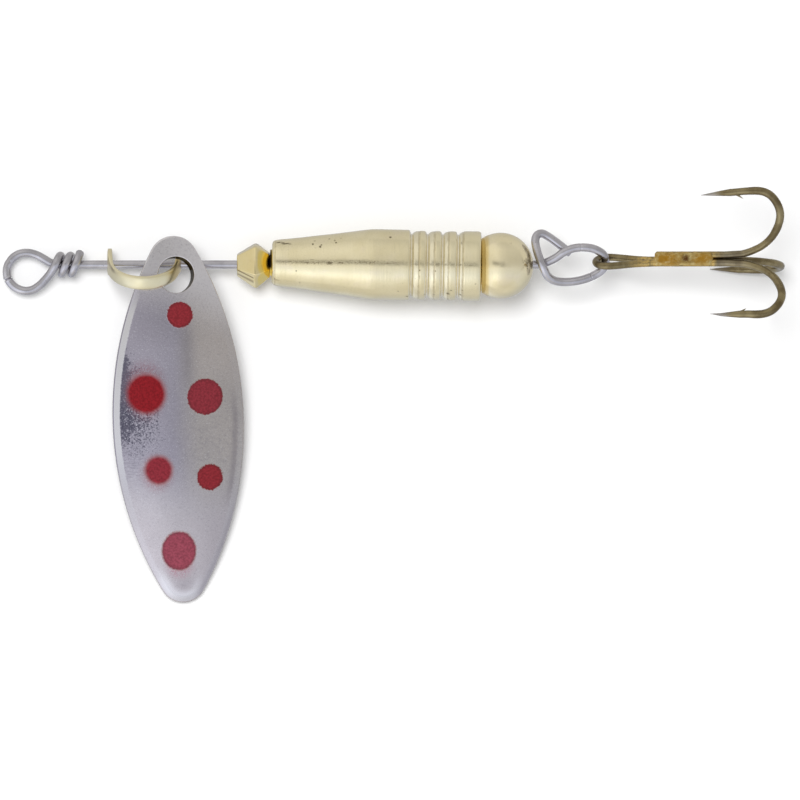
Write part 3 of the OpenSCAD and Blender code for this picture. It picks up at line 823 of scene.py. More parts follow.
    # fine slanting scratches below it
    scrape = grain(t, add(t, "ShaderNodeMapping", {"Vector": at, "Rotation": (0, 0, 0.55), "Scale": (1.0, 6.5, 1.0)}).outputs[0], 1.3, 3, 0.6)
    fray = mth(t, "MULTIPLY", mth(t, "MULTIPLY", lobe(rim, 1.6, 1.2), mth(t, "LESS_THAN", u, 0.0)),
               mth(t, "MULTIPLY", front, mth(t, "MULTIPLY", rise(t, v, -15.5, -17.5), rise(t, v, -23.0, -19.0))))
    col = blend(t, mth(t, "MULTIPLY", mth(t, "MULTIPLY", fray, rise(t, scrape, 0.46, 0.62)), 0.4), col, (0.18, 0.17, 0.2))
    # painted glints, stronger on the ridge and where the dark reflection lies
    ridge_glint = mth(t, "MULTIPLY", lobe(u, 0.4, 1.3), lobe(v, -8.5, 2.6))
    glow = mth(t, "ADD", 0.22, mth(t, "MULTIPLY", mth(t, "MAXIMUM", mth(t, "MAXIMUM", zone, dark_reflection), ridge_glint), 0.7))
    col = blend(t, mth(t, "MULTIPLY", glint, glow), col, (0.9, 0.9, 0.93))
    # painted shade in a hollow above the tip and a painted highlight on the lip round it
    c = on_blade(183.5, 585.0)
    away = add(t, "ShaderNodeVectorMath", {0: at, 1: (c[0], c[1], 0)}, operation="SUBTRACT").outputs[0]
    away = add(t, "ShaderNodeVectorMath", {0: away, 1: (1.0 / 1.3, 1.0 / 0.9, 0)}, operation="MULTIPLY").outputs[0]
    hollow_shade = lobe(add(t, "ShaderNodeVectorMath", {0: away}, operation="LENGTH").outputs["Value"], 0.0, 0.7)
    col = blend(t, mth(t, "MULTIPLY", mth(t, "MULTIPLY", hollow_shade, front), 0.25), col, (0.3, 0.27, 0.29))
    # painted highlight on the lip
    lip = mth(t, "MULTIPLY", lobe(rim, 0.75, 0.42), mth(t, "MULTIPLY", rise(t, v, -28.6, -31.2), rise(t, u, 2.2, 0.4)))
    col = blend(t, mth(t, "MULTIPLY", mth(t, "MULTIPLY", lip, front), 0.72), col, (0.85, 0.82, 0.82))
    # painted highlight on the coined rim, a painted shade line inside it on the lower right
    rimw = add(t, "ShaderNodeAttribute", attribute_name="rimw").outputs["Fac"]
    edge = mth(t, "MULTIPLY", rise(t, mth(t, "ADD", rim, mth(t, "MULTIPLY", mth(t, "SUBTRACT", peel, 0.5), 0.16)), RIM + 0.06, RIM - 0.08),
               mth(t, "MULTIPLY", front, rimw))
    col = blend(t, edge, col, (0.66, 0.645, 0.65))
    inner = mth(t, "MULTIPLY", lobe(mth(t, "ADD", rim, mth(t, "MULTIPLY", mth(t, "SUBTRACT", peel, 0.5), 0.5)), 0.9, 0.32), mth(t, "GREATER_THAN", u, 0.0))
    inner = mth(t, "MULTIPLY", inner, mth(t, "MULTIPLY", rise(t, v, -11.0, -14.5), rise(t, v, -24.5, -20.5)))
    col = blend(t, mth(t, "MULTIPLY", inner, 0.4), col, (0.22, 0.195, 0.225))
    # painted shade along the lower right edge
    turned = mth(t, "MULTIPLY", lobe(rim, 0.1, 0.4), mth(t, "MULTIPLY", rise(t, u, 0.6, 1.8), rise(t, v, -21.0, -25.5)))
    col = blend(t, mth(t, "MULTIPLY", mth(t, "MULTIPLY", turned, front), 0.5), col, (0.33, 0.305, 0.33))
    # painted shade: the hole's wall near black
    bore = add(t, "ShaderNodeAttribute", attribute_name="bore").outputs["Fac"]
    col = blend(t, bore, col, (0.055, 0.045, 0.032))
    steel = col
    # sprayed red dots: [centre px, radius mm, softness, raggedness, depth of colour]
    paint = None
    mottle = grain(t, at, 5.2, 2, 0.65)
    for (px, py), r, soft, rag, tall, deep in (
            ((180.3, 315.0), 1.3, 0.1, 0.16, 1.0, (0.187, 0.0155, 0.0215)),
            ((146.8, 393.9), 1.84, 0.5, 0.05, 1.06, (0.18, 0.0048, 0.009)),
            ((205.4, 396.7), 1.8, 0.1, 0.15, 1.0, (0.184, 0.0195, 0.0285)),
            ((158.9, 470.3), 1.32, 0.42, 0.06, 1.06, (0.19, 0.0165, 0.0265)),
            ((210.0, 477.0), 1.31, 0.1, 0.17, 1.0, (0.193, 0.0155, 0.022)),
            ((179.0, 551.0), 1.7, 0.2, 0.1, 1.16, (0.238, 0.046, 0.0705))):
        c = on_blade(px, py)
        away = add(t, "ShaderNodeVectorMath", {0: at, 1: (c[0], c[1], 0)}, operation="SUBTRACT").outputs[0]
        away = add(t, "ShaderNodeVectorMath", {0: away, 1: (1, 1 / tall, 0)}, operation="MULTIPLY").outputs[0]
        dist = add(t, "ShaderNodeVectorMath", {0: away}, operation="LENGTH").outputs["Value"]
        wob = mth(t, "MULTIPLY", mth(t, "SUBTRACT", grain(t, at, 2.6 if soft > 0.3 else 4.4, 3, 0.6), 0.5), 2.4 * rag)
        dist = mth(t, "ADD", dist, wob)
        cover = rise(t, dist, r - 0.55 * soft, r + soft, 1.0, 0.0)
        # speckle of the spray in the soft border
        cover = mth(t, "MULTIPLY", cover, rise(t, mth(t, "ADD", peel2, mth(t, "MULTIPLY", cover, 0.9)), 0.42, 0.72), clamp=True)
        cover = mth(t, "MULTIPLY", cover, front)
        tone = blend(t, rise(t, mottle, 0.32, 0.68), tuple(0.78 * x for x in deep), tuple(1.19 * x + 0.002 for x in deep))
        if soft < 0.3:
            ring_d = mth(t, "MULTIPLY", rise(t, dist, r - 0.34, r - 0.06), rise(t, fleck, 0.36, 0.6, 0.2, 0.8))
            tone = blend(t, ring_d, tone, tuple(0.5 * x + 0.004 for x in deep))
        col = blend(t, cover, col, tone)
        paint = cover if paint is None else mth(t, "MAXIMUM", paint, cover)
    # thin mist of paint below the lowest dot and round the soft ones
    for (px, py), ru, rv, much, haze in (((180.0, 566.0), 1.9, 1.7, 0.6, (0.5, 0.2, 0.25)), ((146.0, 390.5), 2.7, 3.7, 0.85, (0.25, 0.07, 0.09)),
                                         ((157.8, 473.0), 2.15, 2.5, 0.65, (0.3, 0.085, 0.11))):
        c = on_blade(px, py)
        away = add(t, "ShaderNodeVectorMath", {0: at, 1: (c[0], c[1], 0)}, operation="SUBTRACT").outputs[0]
        away = add(t, "ShaderNodeVectorMath", {0: away, 1: (1 / ru, 1 / rv, 0)}, operation="MULTIPLY").outputs[0]
        dist = add(t, "ShaderNodeVectorMath", {0: away}, operation="LENGTH").outputs["Value"]
        mist = mth(t, "MULTIPLY", rise(t, dist, 0.3, 1.0, much, 0.0), mth(t, "MULTIPLY", front, rise(t, peel2, 0.34, 0.58)))
        col = blend(t, mth(t, "MULTIPLY", mist, mth(t, "SUBTRACT", 1.0, paint)), col, haze)
    t.links.new(col, b.inputs["Base Color"])
    t.links.new(mth(t, "SUBTRACT", 1.0, mth(t, "MULTIPLY", paint, 0.97)), b.inputs["Metallic"])
    t.links.new(mth(t, "SUBTRACT", 0.5, mth(t, "MULTIPLY", paint, 0.34)), b.inputs["Specular IOR Level"])
    r = rise(t, cloud, 0.3, 0.75, 0.17, 0.26)
    r = mth(t, "ADD", r, mth(t, "MULTIPLY", paint, 0.22))
    t.links.new(r, b.inputs["Roughness"])
    t.links.new(bumps(t, (peel, 0.0035), (peel2, 0.0014), (paint, 0.012)), b.inputs["Normal"])
    return m


bl = blade_local @ BLADE_TURN.T + BLADE_AT
piece("spinner_blade", bl, bfaces, blade_finish_and_painted_light(), "blade", ["blade"], 50,
      {"place": blade_local, "rim": rim_d, "rimw": rim_w, "front": face_up, "bore": bore_wall})

# ---------------------------------------------------------------- front bead
BORE = 0.47


def cut_bead():
    bm = bmesh.new()
    rings = []
    for x, r in ((0, 1.2), (1.75, 2.4), (2.0, 2.4), (3.27, 1.32)):
        rings.append([bm.verts.new((21.1 + x, r * math.cos(math.radians(45 + 72 * k)), r * math.sin(math.radians(45 + 72 * k))))
                      for k in range(5)])
    for p, q in zip(rings[:-1], rings[1:]):
        for k in range(5):
            bm.faces.new((p[k], p[(k + 1) % 5], q[(k + 1) % 5], q[k]))
    bm.faces.new(rings[0][::-1])
    bm.faces.new(rings[-1])
    bmesh.ops.recalc_face_normals(bm, faces=bm.faces)
    ends = [e for e in bm.edges if min(q.co[0] for q in e.verts) < 24.36]
    bmesh.ops.bevel(bm, geom=ends, offset=0.1, segments=4, profile=0.5, affect="EDGES", clamp_overlap=True)
    bmesh.ops.triangulate(bm, faces=[f for f in bm.faces if len(f.verts) > 4])
    bm.verts.index_update()
    v = np.array([q.co[:] for q in bm.verts])
    f = [tuple(q.index for q in x.verts) for x in bm.faces]
    bm.free()
    return v, f


def bead_painted_reflections(t, col):
    """Painted reflections: deep gold on the rear cone where it mirrors the body's end face, black by the hole where it
    mirrors the dark gap, dark streaks along one low facet.
    """
    x, y, z, far = on_shaft(t)
    rag = mth(t, "MULTIPLY", mth(t, "SUBTRACT", grain(t, in_mm(t), 4.0, 3, 0.6), 0.5), 0.22)
    # painted reflection of the body's end face: deep gold on the rear cone
    rear = mth(t, "MULTIPLY", rise(t, mth(t, "ADD", x, rag), 23.05, 23.3), rise(t, mth(t, "ADD", far, rag), 2.2, 1.85))
    col = blend(t, mth(t, "MULTIPLY", rear, 0.95), col, (0.945, 0.73, 0.21))
    # painted reflection of the dark gap: black by the hole
    dark_gap_reflection = mth(t, "MULTIPLY", rise(t, x, 24.02, 24.14), rise(t, mth(t, "ADD", far, mth(t, "MULTIPLY", rag, 0.3)), 1.24, 1.16))
    dark_gap_reflection = mth(t, "MULTIPLY", dark_gap_reflection, rise(t, y, -0.9, -0.3, 0.15, 1.0))
    col = blend(t, dark_gap_reflection, col, (0.016, 0.01, 0.004))
    # the facet low on the eye side: painted dark reflection in streaks along its upper edge
    size = mth(t, "MULTIPLY", mth(t, "ADD", 1.2, mth(t, "MULTIPLY", mth(t, "SUBTRACT", x, 21.1), 0.6857)), 0.588)
    across = mth(t, "DIVIDE", mth(t, "ADD", mth(t, "MULTIPLY", y, 0.454), mth(t, "MULTIPLY", z, 0.891)), size)
    out = mth(t, "DIVIDE", mth(t, "ADD", mth(t, "MULTIPLY", y, -0.891), mth(t, "MULTIPLY", z, 0.454)), size)
    here = mth(t, "MULTIPLY", rise(t, out, 1.2, 1.3), rise(t, x, 22.85, 22.7))
    slant = mth(t, "ADD", mth(t, "ADD", y, 0.64), mth(t, "MULTIPLY", mth(t, "SUBTRACT", x, 21.3), 0.5))
    thin = rise(t, mth(t, "ABSOLUTE", slant), 0.02, 0.09, 0.8, 0.0)
    broad = rise(t, mth(t, "ABSOLUTE", mth(t, "ADD", across, 0.1)), 0.06, 0.36, 0.6, 0.0)
    col = blend(t, mth(t, "MULTIPLY", here, mth(t, "MAXIMUM", thin, broad)), col, (0.2, 0.125, 0.035))
    return col


hv, hf = combine(cut_bead(), [rod(20, 26, BORE), rod(24.2, 26, 0.98)], "DIFFERENCE")
piece("cut_bead", hv, hf, plated("bead_brass", (0.90, 0.775, 0.44), (0.84, 0.68, 0.32), 0.15, 0.04, 0.7, 0.0012, 0.3,
                                 [((22.93, 1.71, 1.35), 0.09, 0.12, 0.6, 0.9)], extra=bead_painted_reflections),
      "bead", ["front_bead"], 30)

# ---------------------------------------------------------------- body
BR, GR = 3.55, 3.12
BODY_BORE, BALL_BORE = 0.70, 0.60
TILT, PIVOT, BALL_LOW = 1.0, np.array([34.3, 0, 0]), 0.12


GROOVES = [(13.83, 14.69), (15.43, 16.22), (16.94, 17.64), (18.49, 19.08)]


def groove(a, b, left, right):
    """A groove from a to b: a steep wall, a round floor and a long rise to a crisp crest."""
    return [[a - 0.17, left - 0.02], [a - 0.06, left - 0.12], [a, GR + 0.06], [a + 0.08, GR], [a + 0.16, GR + 0.03],
            [a + 0.26, GR + 0.14], [a + 0.36, GR + 0.22], [a + 0.5, GR + 0.275], [b - 0.06, GR + 0.315], [b - 0.02, GR + 0.3],
            [b + 0.02, GR + 0.3], [b + 0.07, right - 0.015], [b + 0.2, right]]


body_profile = ([
    [-0.33, BODY_BORE], [-0.33, 0.74], [-0.3, 0.78], [-0.203, 0.78], [-0.203, 1.28], [-0.16, 1.32], [0, 1.36], [0, 1.95], [0.05, 2.1], [0.18, 2.22], [0.36, 2.28], [0.5, 2.31],
    [0.8, 2.36], [1.4, 2.42], [3.2, 2.63], [4.6, 2.83], [6.0, 2.99], [7.4, 3.19], [8.8, 3.39], [9.7, 3.51], [10.2, BR],
    [13.3, BR - 0.01]] + groove(*GROOVES[0], BR, 3.47) + groove(*GROOVES[1], 3.47, 3.47) + groove(*GROOVES[2], 3.47, 3.47)
    + groove(*GROOVES[3], 3.47, 3.49) + [[20.5, 3.51], [20.74, 3.48], [20.85, 3.38], [20.9, 3.1], [20.9, 2.6], [20.92, 2.52],
                                         [21.15, 2.5],
                                         [21.15, BODY_BORE]])
bv, bf = lathe(rounded(body_profile, 0.05), 24.6, 160)
# the casting is not quite true
off = np.array([lump(p, 0.5, 7.7) for p in bv])
far = np.hypot(bv[:, 1], bv[:, 2])
lift = 0.008 * off * step(1.2, 2.2, far)
bv[:, 1:] *= (1 + lift / np.maximum(far, 0.3))[:, None]
# it hangs a little askew on the wire
bv = (bv - PIVOT) @ rot_z(-TILT).T + PIVOT


def on_turned(px, py, profile, x0, tilt=0.0, low=0.0):
    """The place on a turned shape, in the shaft frame, seen at a pixel of the 800 x 800 picture."""
    x, y = (px - 26) / 10, (264.5 - py) / 10
    local = rot_z(tilt) @ (np.array([x, y + low, 0]) - PIVOT) + PIVOT
    r = float(np.interp(local[0] - x0, *np.array(profile).T))
    return [x, y, math.sqrt(max(r * r - local[1] ** 2, 0.0))]


outer = np.array([q for q in body_profile[1:-1]])
outer = outer[np.argsort(outer[:, 0], kind="stable")]
# dark marks on the body, each [pixel x, pixel y, length, width, softness, strength]: round casting pits, and the long
# thin marks along pixel y 260 to 266, which are painted dark reflection of the overhead band
dark_marks = [(on_turned(px, py, outer, 24.6, TILT), long, r, soft, much) for px, py, long, r, soft, much in (
    (279, 242.6, 0.3, 0.1, 0.6, 1.0), (286, 243.9, 0.42, 0.1, 0.6, 1.0), (283, 243.2, 0.2, 0.12, 0.6, 0.9), (290, 244.4, 0.16, 0.07, 0.6, 0.8),
    (313, 244.4, 0.1, 0.11, 0.5, 0.9), (315, 241.2, 0.09, 0.07, 0.5, 0.7), (320.3, 247, 0.1, 0.13, 0.5, 1.0), (321.6, 245.2, 0.08, 0.09, 0.5, 0.8),
    (329.5, 239.2, 0.1, 0.08, 0.5, 0.9), (335, 241, 0.08, 0.08, 0.5, 0.8), (336.2, 243, 0.1, 0.1, 0.5, 0.9), (341, 238.4, 0.07, 0.06, 0.5, 0.6),
    (390.4, 237.6, 0.13, 0.13, 0.5, 0.95), (296.5, 271.2, 0.06, 0.07, 0.5, 0.7), (300, 283, 0.06, 0.06, 0.5, 0.6),
    (283, 261.8, 0.5, 0.06, 0.7, 0.5), (296, 262, 0.7, 0.06, 0.7, 0.5), (307, 262.6, 0.55, 0.08, 0.7, 0.75), (318, 262.5, 0.6, 0.07, 0.7, 0.6),
    (330, 263.2, 0.32, 0.15, 0.6, 0.95), (341, 263, 0.5, 0.1, 0.7, 0.7), (356, 262.8, 0.8, 0.06, 0.7, 0.45), (372, 263.2, 0.6, 0.07, 0.7, 0.45),
    (352, 261.2, 0.4, 0.05, 0.7, 0.4), (312, 260.4, 0.35, 0.05, 0.7, 0.4), (398, 291.5, 0.07, 0.07, 0.5, 0.6), (407, 296.5, 0.12, 0.1, 0.5, 0.7),
    (388, 263.6, 0.5, 0.06, 0.8, 0.3), (415.5, 264.4, 0.3, 0.1, 0.8, 0.5), (430.5, 264.6, 0.28, 0.1, 0.8, 0.5), (437.5, 264.8, 0.2, 0.12, 0.8, 0.6),
    (445.5, 265, 0.3, 0.1, 0.8, 0.5), (452.5, 265, 0.2, 0.08, 0.8, 0.45), (460, 265.2, 0.25, 0.11, 0.8, 0.55), (470, 265.6, 0.5, 0.07, 0.8, 0.45),
    (419.6, 270.6, 0.06, 0.08, 0.5, 0.8), (435.2, 271.4, 0.07, 0.08, 0.5, 0.7), (419.6, 277.5, 0.05, 0.2, 0.6, 0.4),
    (448, 293.8, 0.16, 0.14, 0.6, 0.8), (451, 290.8, 0.1, 0.1, 0.6, 0.6), (460, 294.8, 0.14, 0.12, 0.6, 0.8), (462, 290.6, 0.08, 0.08, 0.6, 0.6),
    (434, 294.8, 0.08, 0.1, 0.6, 0.6), (424.5, 294.6, 0.1, 0.08, 0.6, 0.6), (475.5, 284.5, 0.08, 0.08, 0.6, 0.5), (461.5, 243.4, 0.05, 0.2, 0.6, 0.5),
    (456.5, 240.6, 0.05, 0.14, 0.6, 0.4))]


def body_tone(t, col):
    """Paler towards the collar; painted highlights and shade lines in the grooves, grit and painted reflection along
    the top, painted shade and reflection in the gap behind the front bead.
    """
    x, y, z, far = on_shaft(t)
    c, d = math.cos(math.radians(TILT)), math.sin(math.radians(TILT))
    own = mth(t, "SUBTRACT", mth(t, "ADD", mth(t, "MULTIPLY", x, c), PIVOT[0] * (1 - c) - 24.6), mth(t, "MULTIPLY", y, d))
    col = blend(t, rise(t, own, 13.0, 18.5, 0.0, 0.3), col, (0.92, 0.85, 0.605))
    # painted light in the grooves: a painted highlight on their floors, painted shade lines at their corners
    broken = rise(t, grain(t, in_mm(t), 1.5, 3, 0.65), 0.34, 0.62, 0.45, 1.0)
    floor_highlight, shade_lines, notch_highlight = None, None, None
    uneven = mth(t, "ADD", own, mth(t, "MULTIPLY", mth(t, "SUBTRACT", grain(t, in_mm(t), 1.1, 2, 0.6), 0.5), 0.22))
    for a, b in GROOVES:
        inside = mth(t, "MULTIPLY", rise(t, own, a, a + 0.12), rise(t, own, b, b - 0.12))
        floor_highlight = inside if floor_highlight is None else mth(t, "MAXIMUM", floor_highlight, inside)
        deep = rise(t, mth(t, "ABSOLUTE", mth(t, "SUBTRACT", own, a + 0.06)), 0.08, 0.24, 0.68, 0.0)
        notch_highlight = deep if notch_highlight is None else mth(t, "MAXIMUM", notch_highlight, deep)
        for at, wide, much in ((a + 0.0, 0.11, 0.28), (b + 0.0, 0.17, 0.38)):
            edge = rise(t, mth(t, "ABSOLUTE", mth(t, "SUBTRACT", uneven, at)), wide * 0.35, wide, much, 0.0)
            shade_lines = edge if shade_lines is None else mth(t, "MAXIMUM", shade_lines, edge)
    # painted shade lines at the nose and at the rear edge too
    for at, wide, much in ((0.32, 0.1, 0.4), (20.9, 0.1, 0.15)):
        shade_lines = mth(t, "MAXIMUM", shade_lines, rise(t, mth(t, "ABSOLUTE", mth(t, "SUBTRACT", own, at)), wide * 0.3, wide, much, 0.0))
    col = blend(t, mth(t, "MULTIPLY", floor_highlight, 0.36), col, (0.955, 0.89, 0.7))
    col = blend(t, notch_highlight, col, (0.965, 0.915, 0.77))
    col = blend(t, mth(t, "MULTIPLY", shade_lines, broken), col, (0.4, 0.3, 0.15))
    # dark grit along the middle of the upper side, laid where the dark overhead band reflects: partly specks, partly
    # painted reflection
    grit_and_reflection_line = mth(t, "MULTIPLY", rise(t, mth(t, "ABSOLUTE", mth(t, "SUBTRACT", y, 0.16)), 0.08, 0.36, 1.0, 0.0), rise(t, z, 0.0, 1.0))
    grit_and_reflection_line = mth(t, "MULTIPLY", grit_and_reflection_line, mth(t, "MULTIPLY", rise(t, own, 0.4, 1.2), rise(t, own, 17.0, 11.0, 0.25, 1.0)))
    grit = rise(t, grain(t, in_mm(t), 8.5, 2, 0.7), 0.54, 0.66)
    col = blend(t, mth(t, "MULTIPLY", mth(t, "MULTIPLY", grit_and_reflection_line, grit), 0.6), col, (0.2, 0.13, 0.05))
    # painted light in the gap behind the front bead: the hub deep gold as painted reflection, black low on its face as
    # painted shadow; the rim of the rear face where the ball sits is paler gold
    gap_reflection_mask = mth(t, "MULTIPLY", rise(t, own, 0.1, 0.03), rise(t, far, 2.08, 1.85))
    gap_shadow = mth(t, "MULTIPLY", rise(t, y, -0.8, -0.2), rise(t, far, 1.62, 1.42))
    col = blend(t, gap_reflection_mask, col, blend(t, gap_shadow, (0.9, 0.66, 0.14), (0.02, 0.013, 0.005)))
    return blend(t, mth(t, "MULTIPLY", rise(t, own, 20.88, 20.92), rise(t, far, 3.25, 3.0)), col, (0.96, 0.85, 0.53))


piece("turned_body", bv, bf, plated("body_brass", (0.91, 0.815, 0.545), (0.85, 0.75, 0.475), 0.17, 0.07, 0.85, 0.0023, placed=dark_marks,
                                    turned=0.011, extra=body_tone),
      "lure_body", ["body"], 50)

# ---------------------------------------------------------------- rear bead
ball = []
for a in np.linspace(math.degrees(math.acos(-1.88 / 3.3)), math.degrees(math.acos(3.24 / 3.3)), 60):
    ball.append([3.3 * math.cos(math.radians(a)), 3.3 * math.sin(math.radians(a))])
ball = [[-1.48, BALL_BORE], [-1.48, 2.58], [-1.65, 2.62], [-1.88, 2.63]] + ball + [[3.1, BALL_BORE + 0.2], [2.92, BALL_BORE]]
sv, sf = lathe(rounded(ball, 0.05, 3), 47.45, 144)
sv = sv - np.array([0, BALL_LOW, 0])
round_ball = [[3.3 * math.cos(math.radians(a)), 3.3 * math.sin(math.radians(a))] for a in range(180, -1, -3)]
# marks on the ball: the first, near the middle, is a painted dark reflection of the overhead band; the rest are tarnish
# stains
stains_and_reflection = [(on_turned(px, py, round_ball, 47.45, 0, BALL_LOW), long, r, soft, much) for px, py, long, r, soft, much in (
    (502.4, 265.2, 0.2, 0.2, 1.0, 0.24), (525.5, 249.5, 0.12, 0.3, 0.9, 0.7), (528.4, 255, 0.14, 0.34, 0.9, 0.8), (529, 261.5, 0.2, 0.2, 0.9, 0.85),
    (531.3, 266, 0.16, 0.3, 0.9, 0.9), (527, 263.6, 0.14, 0.1, 0.8, 0.7), (529, 271.5, 0.1, 0.25, 0.8, 0.6), (511, 243.5, 0.06, 0.06, 0.6, 0.5),
    (524.5, 261.2, 0.16, 0.07, 0.8, 0.5))]


def ball_seat_reflection(t, col):
    """Painted deep-gold reflection of the body where the ball sits against it."""
    x, y, z, far = on_shaft(t)
    wave = mth(t, "MULTIPLY", mth(t, "SUBTRACT", grain(t, in_mm(t), 1.4, 3, 0.6), 0.5), 0.25)
    return blend(t, rise(t, mth(t, "ADD", x, wave), 46.42, 46.08, 0.0, 0.85), col, (0.78, 0.585, 0.24))


piece("ball_bead", sv, sf, plated("ball_brass", (0.945, 0.84, 0.565), (0.88, 0.77, 0.485), 0.18, 0.05, 0.8, 0.0016, placed=stains_and_reflection,
                                  extra=ball_seat_reflection),
      "ball", ["rear_bead"], 45)

# ---------------------------------------------------------------- treble hook
HOOK_R, BUNDLE = 0.365, 0.462
SINGLE, LOWER, THIRD = 20, 140, 262.5
HOOK_AT, HOOK_TURN = np.array([57.95, 0.5, 0]), rot_y(-5.8)
bend_route = [
    [-4.8, 0.462], [-4.0, 0.56], [-3.35, 0.74], [-2.75, 0.98], [-2.15, 1.28], [-1.6, 1.67], [-1.1, 2.15],
    [-0.7, 2.65], [-0.3, 3.4], [-0.06, 4.2], [-0.02, 4.9], [-0.18, 5.6], [-0.53, 6.28],
    [-1.03, 6.84], [-1.65, 7.16], [-2.4, 7.27], [-3.4, 7.2], [-4.4, 7.1], [-5.2, 7.03], [-5.9, 6.97],
    [-6.6, 6.9], [-7.2, 6.84], [-7.6, 6.8], [-7.9, 6.77], [-8.2, 6.74]]


def hook_point(a, b, far, way):
    return [far + a, b * math.cos(math.radians(way)), b * math.sin(math.radians(way))]


def shank(x, way):
    return [x, BUNDLE * math.cos(math.radians(way)), BUNDLE * math.sin(math.radians(way))]


def opened(a, b, lift):
    return 0.0 if b < 5 else lift * max(0.0, min(1.0, (-3.4 - a) / 2.6))


def hook_side(far, way, cut=0.0, lift=0.0):
    """Bend, spear and point of one hook, with the radius at each place."""
    out = []
    for a, b in smooth(bend_route, 12):
        r = HOOK_R
        if b > 5 and a < cut - 7.93:
            continue
        if b > 5 and a < cut - 5:
            k = (7.95 - cut + a) / 2.95
            r = HOOK_R * max(0.1, k ** 0.85 if k > 0 else 0.1)
        thick = float(step(1.7, 3.2, b) * step(-4.0, -2.2, a)) * 0.04
        inward = unit(np.array([-2.6 - a, 4.6 - b]))
        a, b, r = a + 1.1 * thick * inward[0], b + 1.1 * thick * inward[1], r + thick
        out.append(hook_point(a, b + opened(a, b, lift), far, way) + [r])
    return np.array(out)


def eye_point(x, k):
    return [x, -0.217 - 0.38 * k, -0.079 + 0.925 * k]


hook_eye_route = ([shank(x, LOWER) for x in (15, 12, 9, 6.5, 5.2)]
                  + [eye_point(x, k) for x, k in ((4.3, 0.42), (3.4, 0.52), (2.6, 0.68), (1.8, 0.9), (1.0, 1.1))]
                  + [eye_point(0.23 + 1.2 * math.cos(math.radians(f)), 1.2 * math.sin(math.radians(f)))
                     for f in range(80, 281, 20)]
                  + [eye_point(x, -k) for x, k in ((1.0, 1.1), (1.8, 0.9), (2.6, 0.68), (3.4, 0.52), (4.3, 0.42))]
                  + [shank(x, THIRD) for x in (5.2, 6.5, 9, 12, 15)])


def barb(far, way, lift=0.0):
    """A sliver raised on the inside of the spear, its free end towards the bend."""
    side = np.array([0, -math.sin(math.radians(way)), math.cos(math.radians(way))])
    rail = [(-4.8, 6.86, 0.06), (-4.55, 6.76, 0.09), (-4.3, 6.65, 0.09), (-4.08, 6.54, 0.07), (-3.9, 6.44, 0.04),
            (-3.82, 6.395, 0.02), (-3.92, 6.51, 0.04), (-4.06, 6.64, 0.07), (-4.17, 6.76, 0.09), (-4.24, 6.88, 0.1)]
    v = []
    for j in (-1, 1):
        for a, b, w in rail:
            v.append(np.array(hook_point(a + 0.1, b + opened(a, 7, lift), far, way)) + j * w * side)
    n = len(rail)
    f = [(k, (k + 1) % n, n + (k + 1) % n, n + k) for k in range(n)]
    return np.array(v), f + [tuple(range(n - 1, -1, -1)), tuple(range(n, 2 * n))]


def in_place(v):
    return np.asarray(v) @ HOOK_TURN.T + HOOK_AT


def hook_values(v, tips):
    """Bare steel past the braze and at the points; a film of braze on the shanks before it."""
    x, out = v[:, 0], np.hypot(v[:, 1], v[:, 2])
    bare = 0.18 * step(10.9, 11.4, x) * (1 - step(12.8, 15.2, x)) * step(2.6, 1.4, out)
    for p, much in tips:
        d = np.linalg.norm(v - np.array(p), axis=1)
        bare = np.maximum(bare, much * step(2.3, 0.9, d))
    gilt = step(1.8, 4.2, x) * (1 - step(10.9, 11.2, x)) * step(1.4, 1.0, out)
    return {"bare": bare, "gilt": gilt}


bronze = hook_bronze()
side_l, side_t, side_s = hook_side(17.9, LOWER, 0.85, 0.3), hook_side(17.3, THIRD, 0.6), hook_side(17.65, SINGLE)
hook_eye = smooth(hook_eye_route, 8)
path = np.vstack([side_l[::-1, :3], hook_eye, side_t[:, :3]])
radii = np.concatenate([side_l[::-1, 3], np.full(len(hook_eye), HOOK_R), side_t[:, 3]])
dv, df = combine(tube(path, radii, 24, bevel=(0, 0)), [barb(18.1, LOWER, 0.3), barb(17.3, THIRD)], "UNION")
piece("double_hook", in_place(dv), df, bronze, "hook", ["hook_double"], 40,
      hook_values(dv, [(side_l[-1, :3], 0.8), (side_t[-1, :3], 0.2)]))
path = np.vstack([[shank(x, SINGLE) for x in (4.95, 5.3, 6, 8, 10, 12)], side_s[:, :3]])
radii = np.concatenate([np.full(6, HOOK_R), side_s[:, 3]])
dv, df = combine(tube(path, radii, 24, bevel=(0.2, 0)), [barb(17.65, SINGLE)], "UNION")
piece("single_hook", in_place(dv), df, bronze, "hook", ["hook_single"], 40,
      hook_values(dv, [(side_s[-1, :3], 0.8)]))


# ---------------------------------------------------------------- braze
def round_triangle(phi, r):
    """Distance from the axis to a rounded triangle round the three shanks."""
    tri = [np.array([BUNDLE * math.cos(math.radians(w)), BUNDLE * math.sin(math.radians(w))]) for w in (SINGLE, LOWER, THIRD)]
    d = np.array([math.cos(phi), math.sin(phi)])

    def outside(k):
        p = k * d
        inner, best = True, 9.0
        for i in range(3):
            a, b = tri[i], tri[(i + 1) % 3]
            e = b - a
            t = max(0, min(1, ((p - a) @ e) / (e @ e)))
            best = min(best, np.linalg.norm(p - a - t * e))
            if e[0] * (p - a)[1] - e[1] * (p - a)[0] < 0:
                inner = False
        return (-best if inner else best) - r
    lo, hi = 0.1, 2.0
    for _ in range(24):
        mid = (lo + hi) / 2
        lo, hi = (mid, hi) if outside(mid) < 0 else (lo, mid)
    return lo


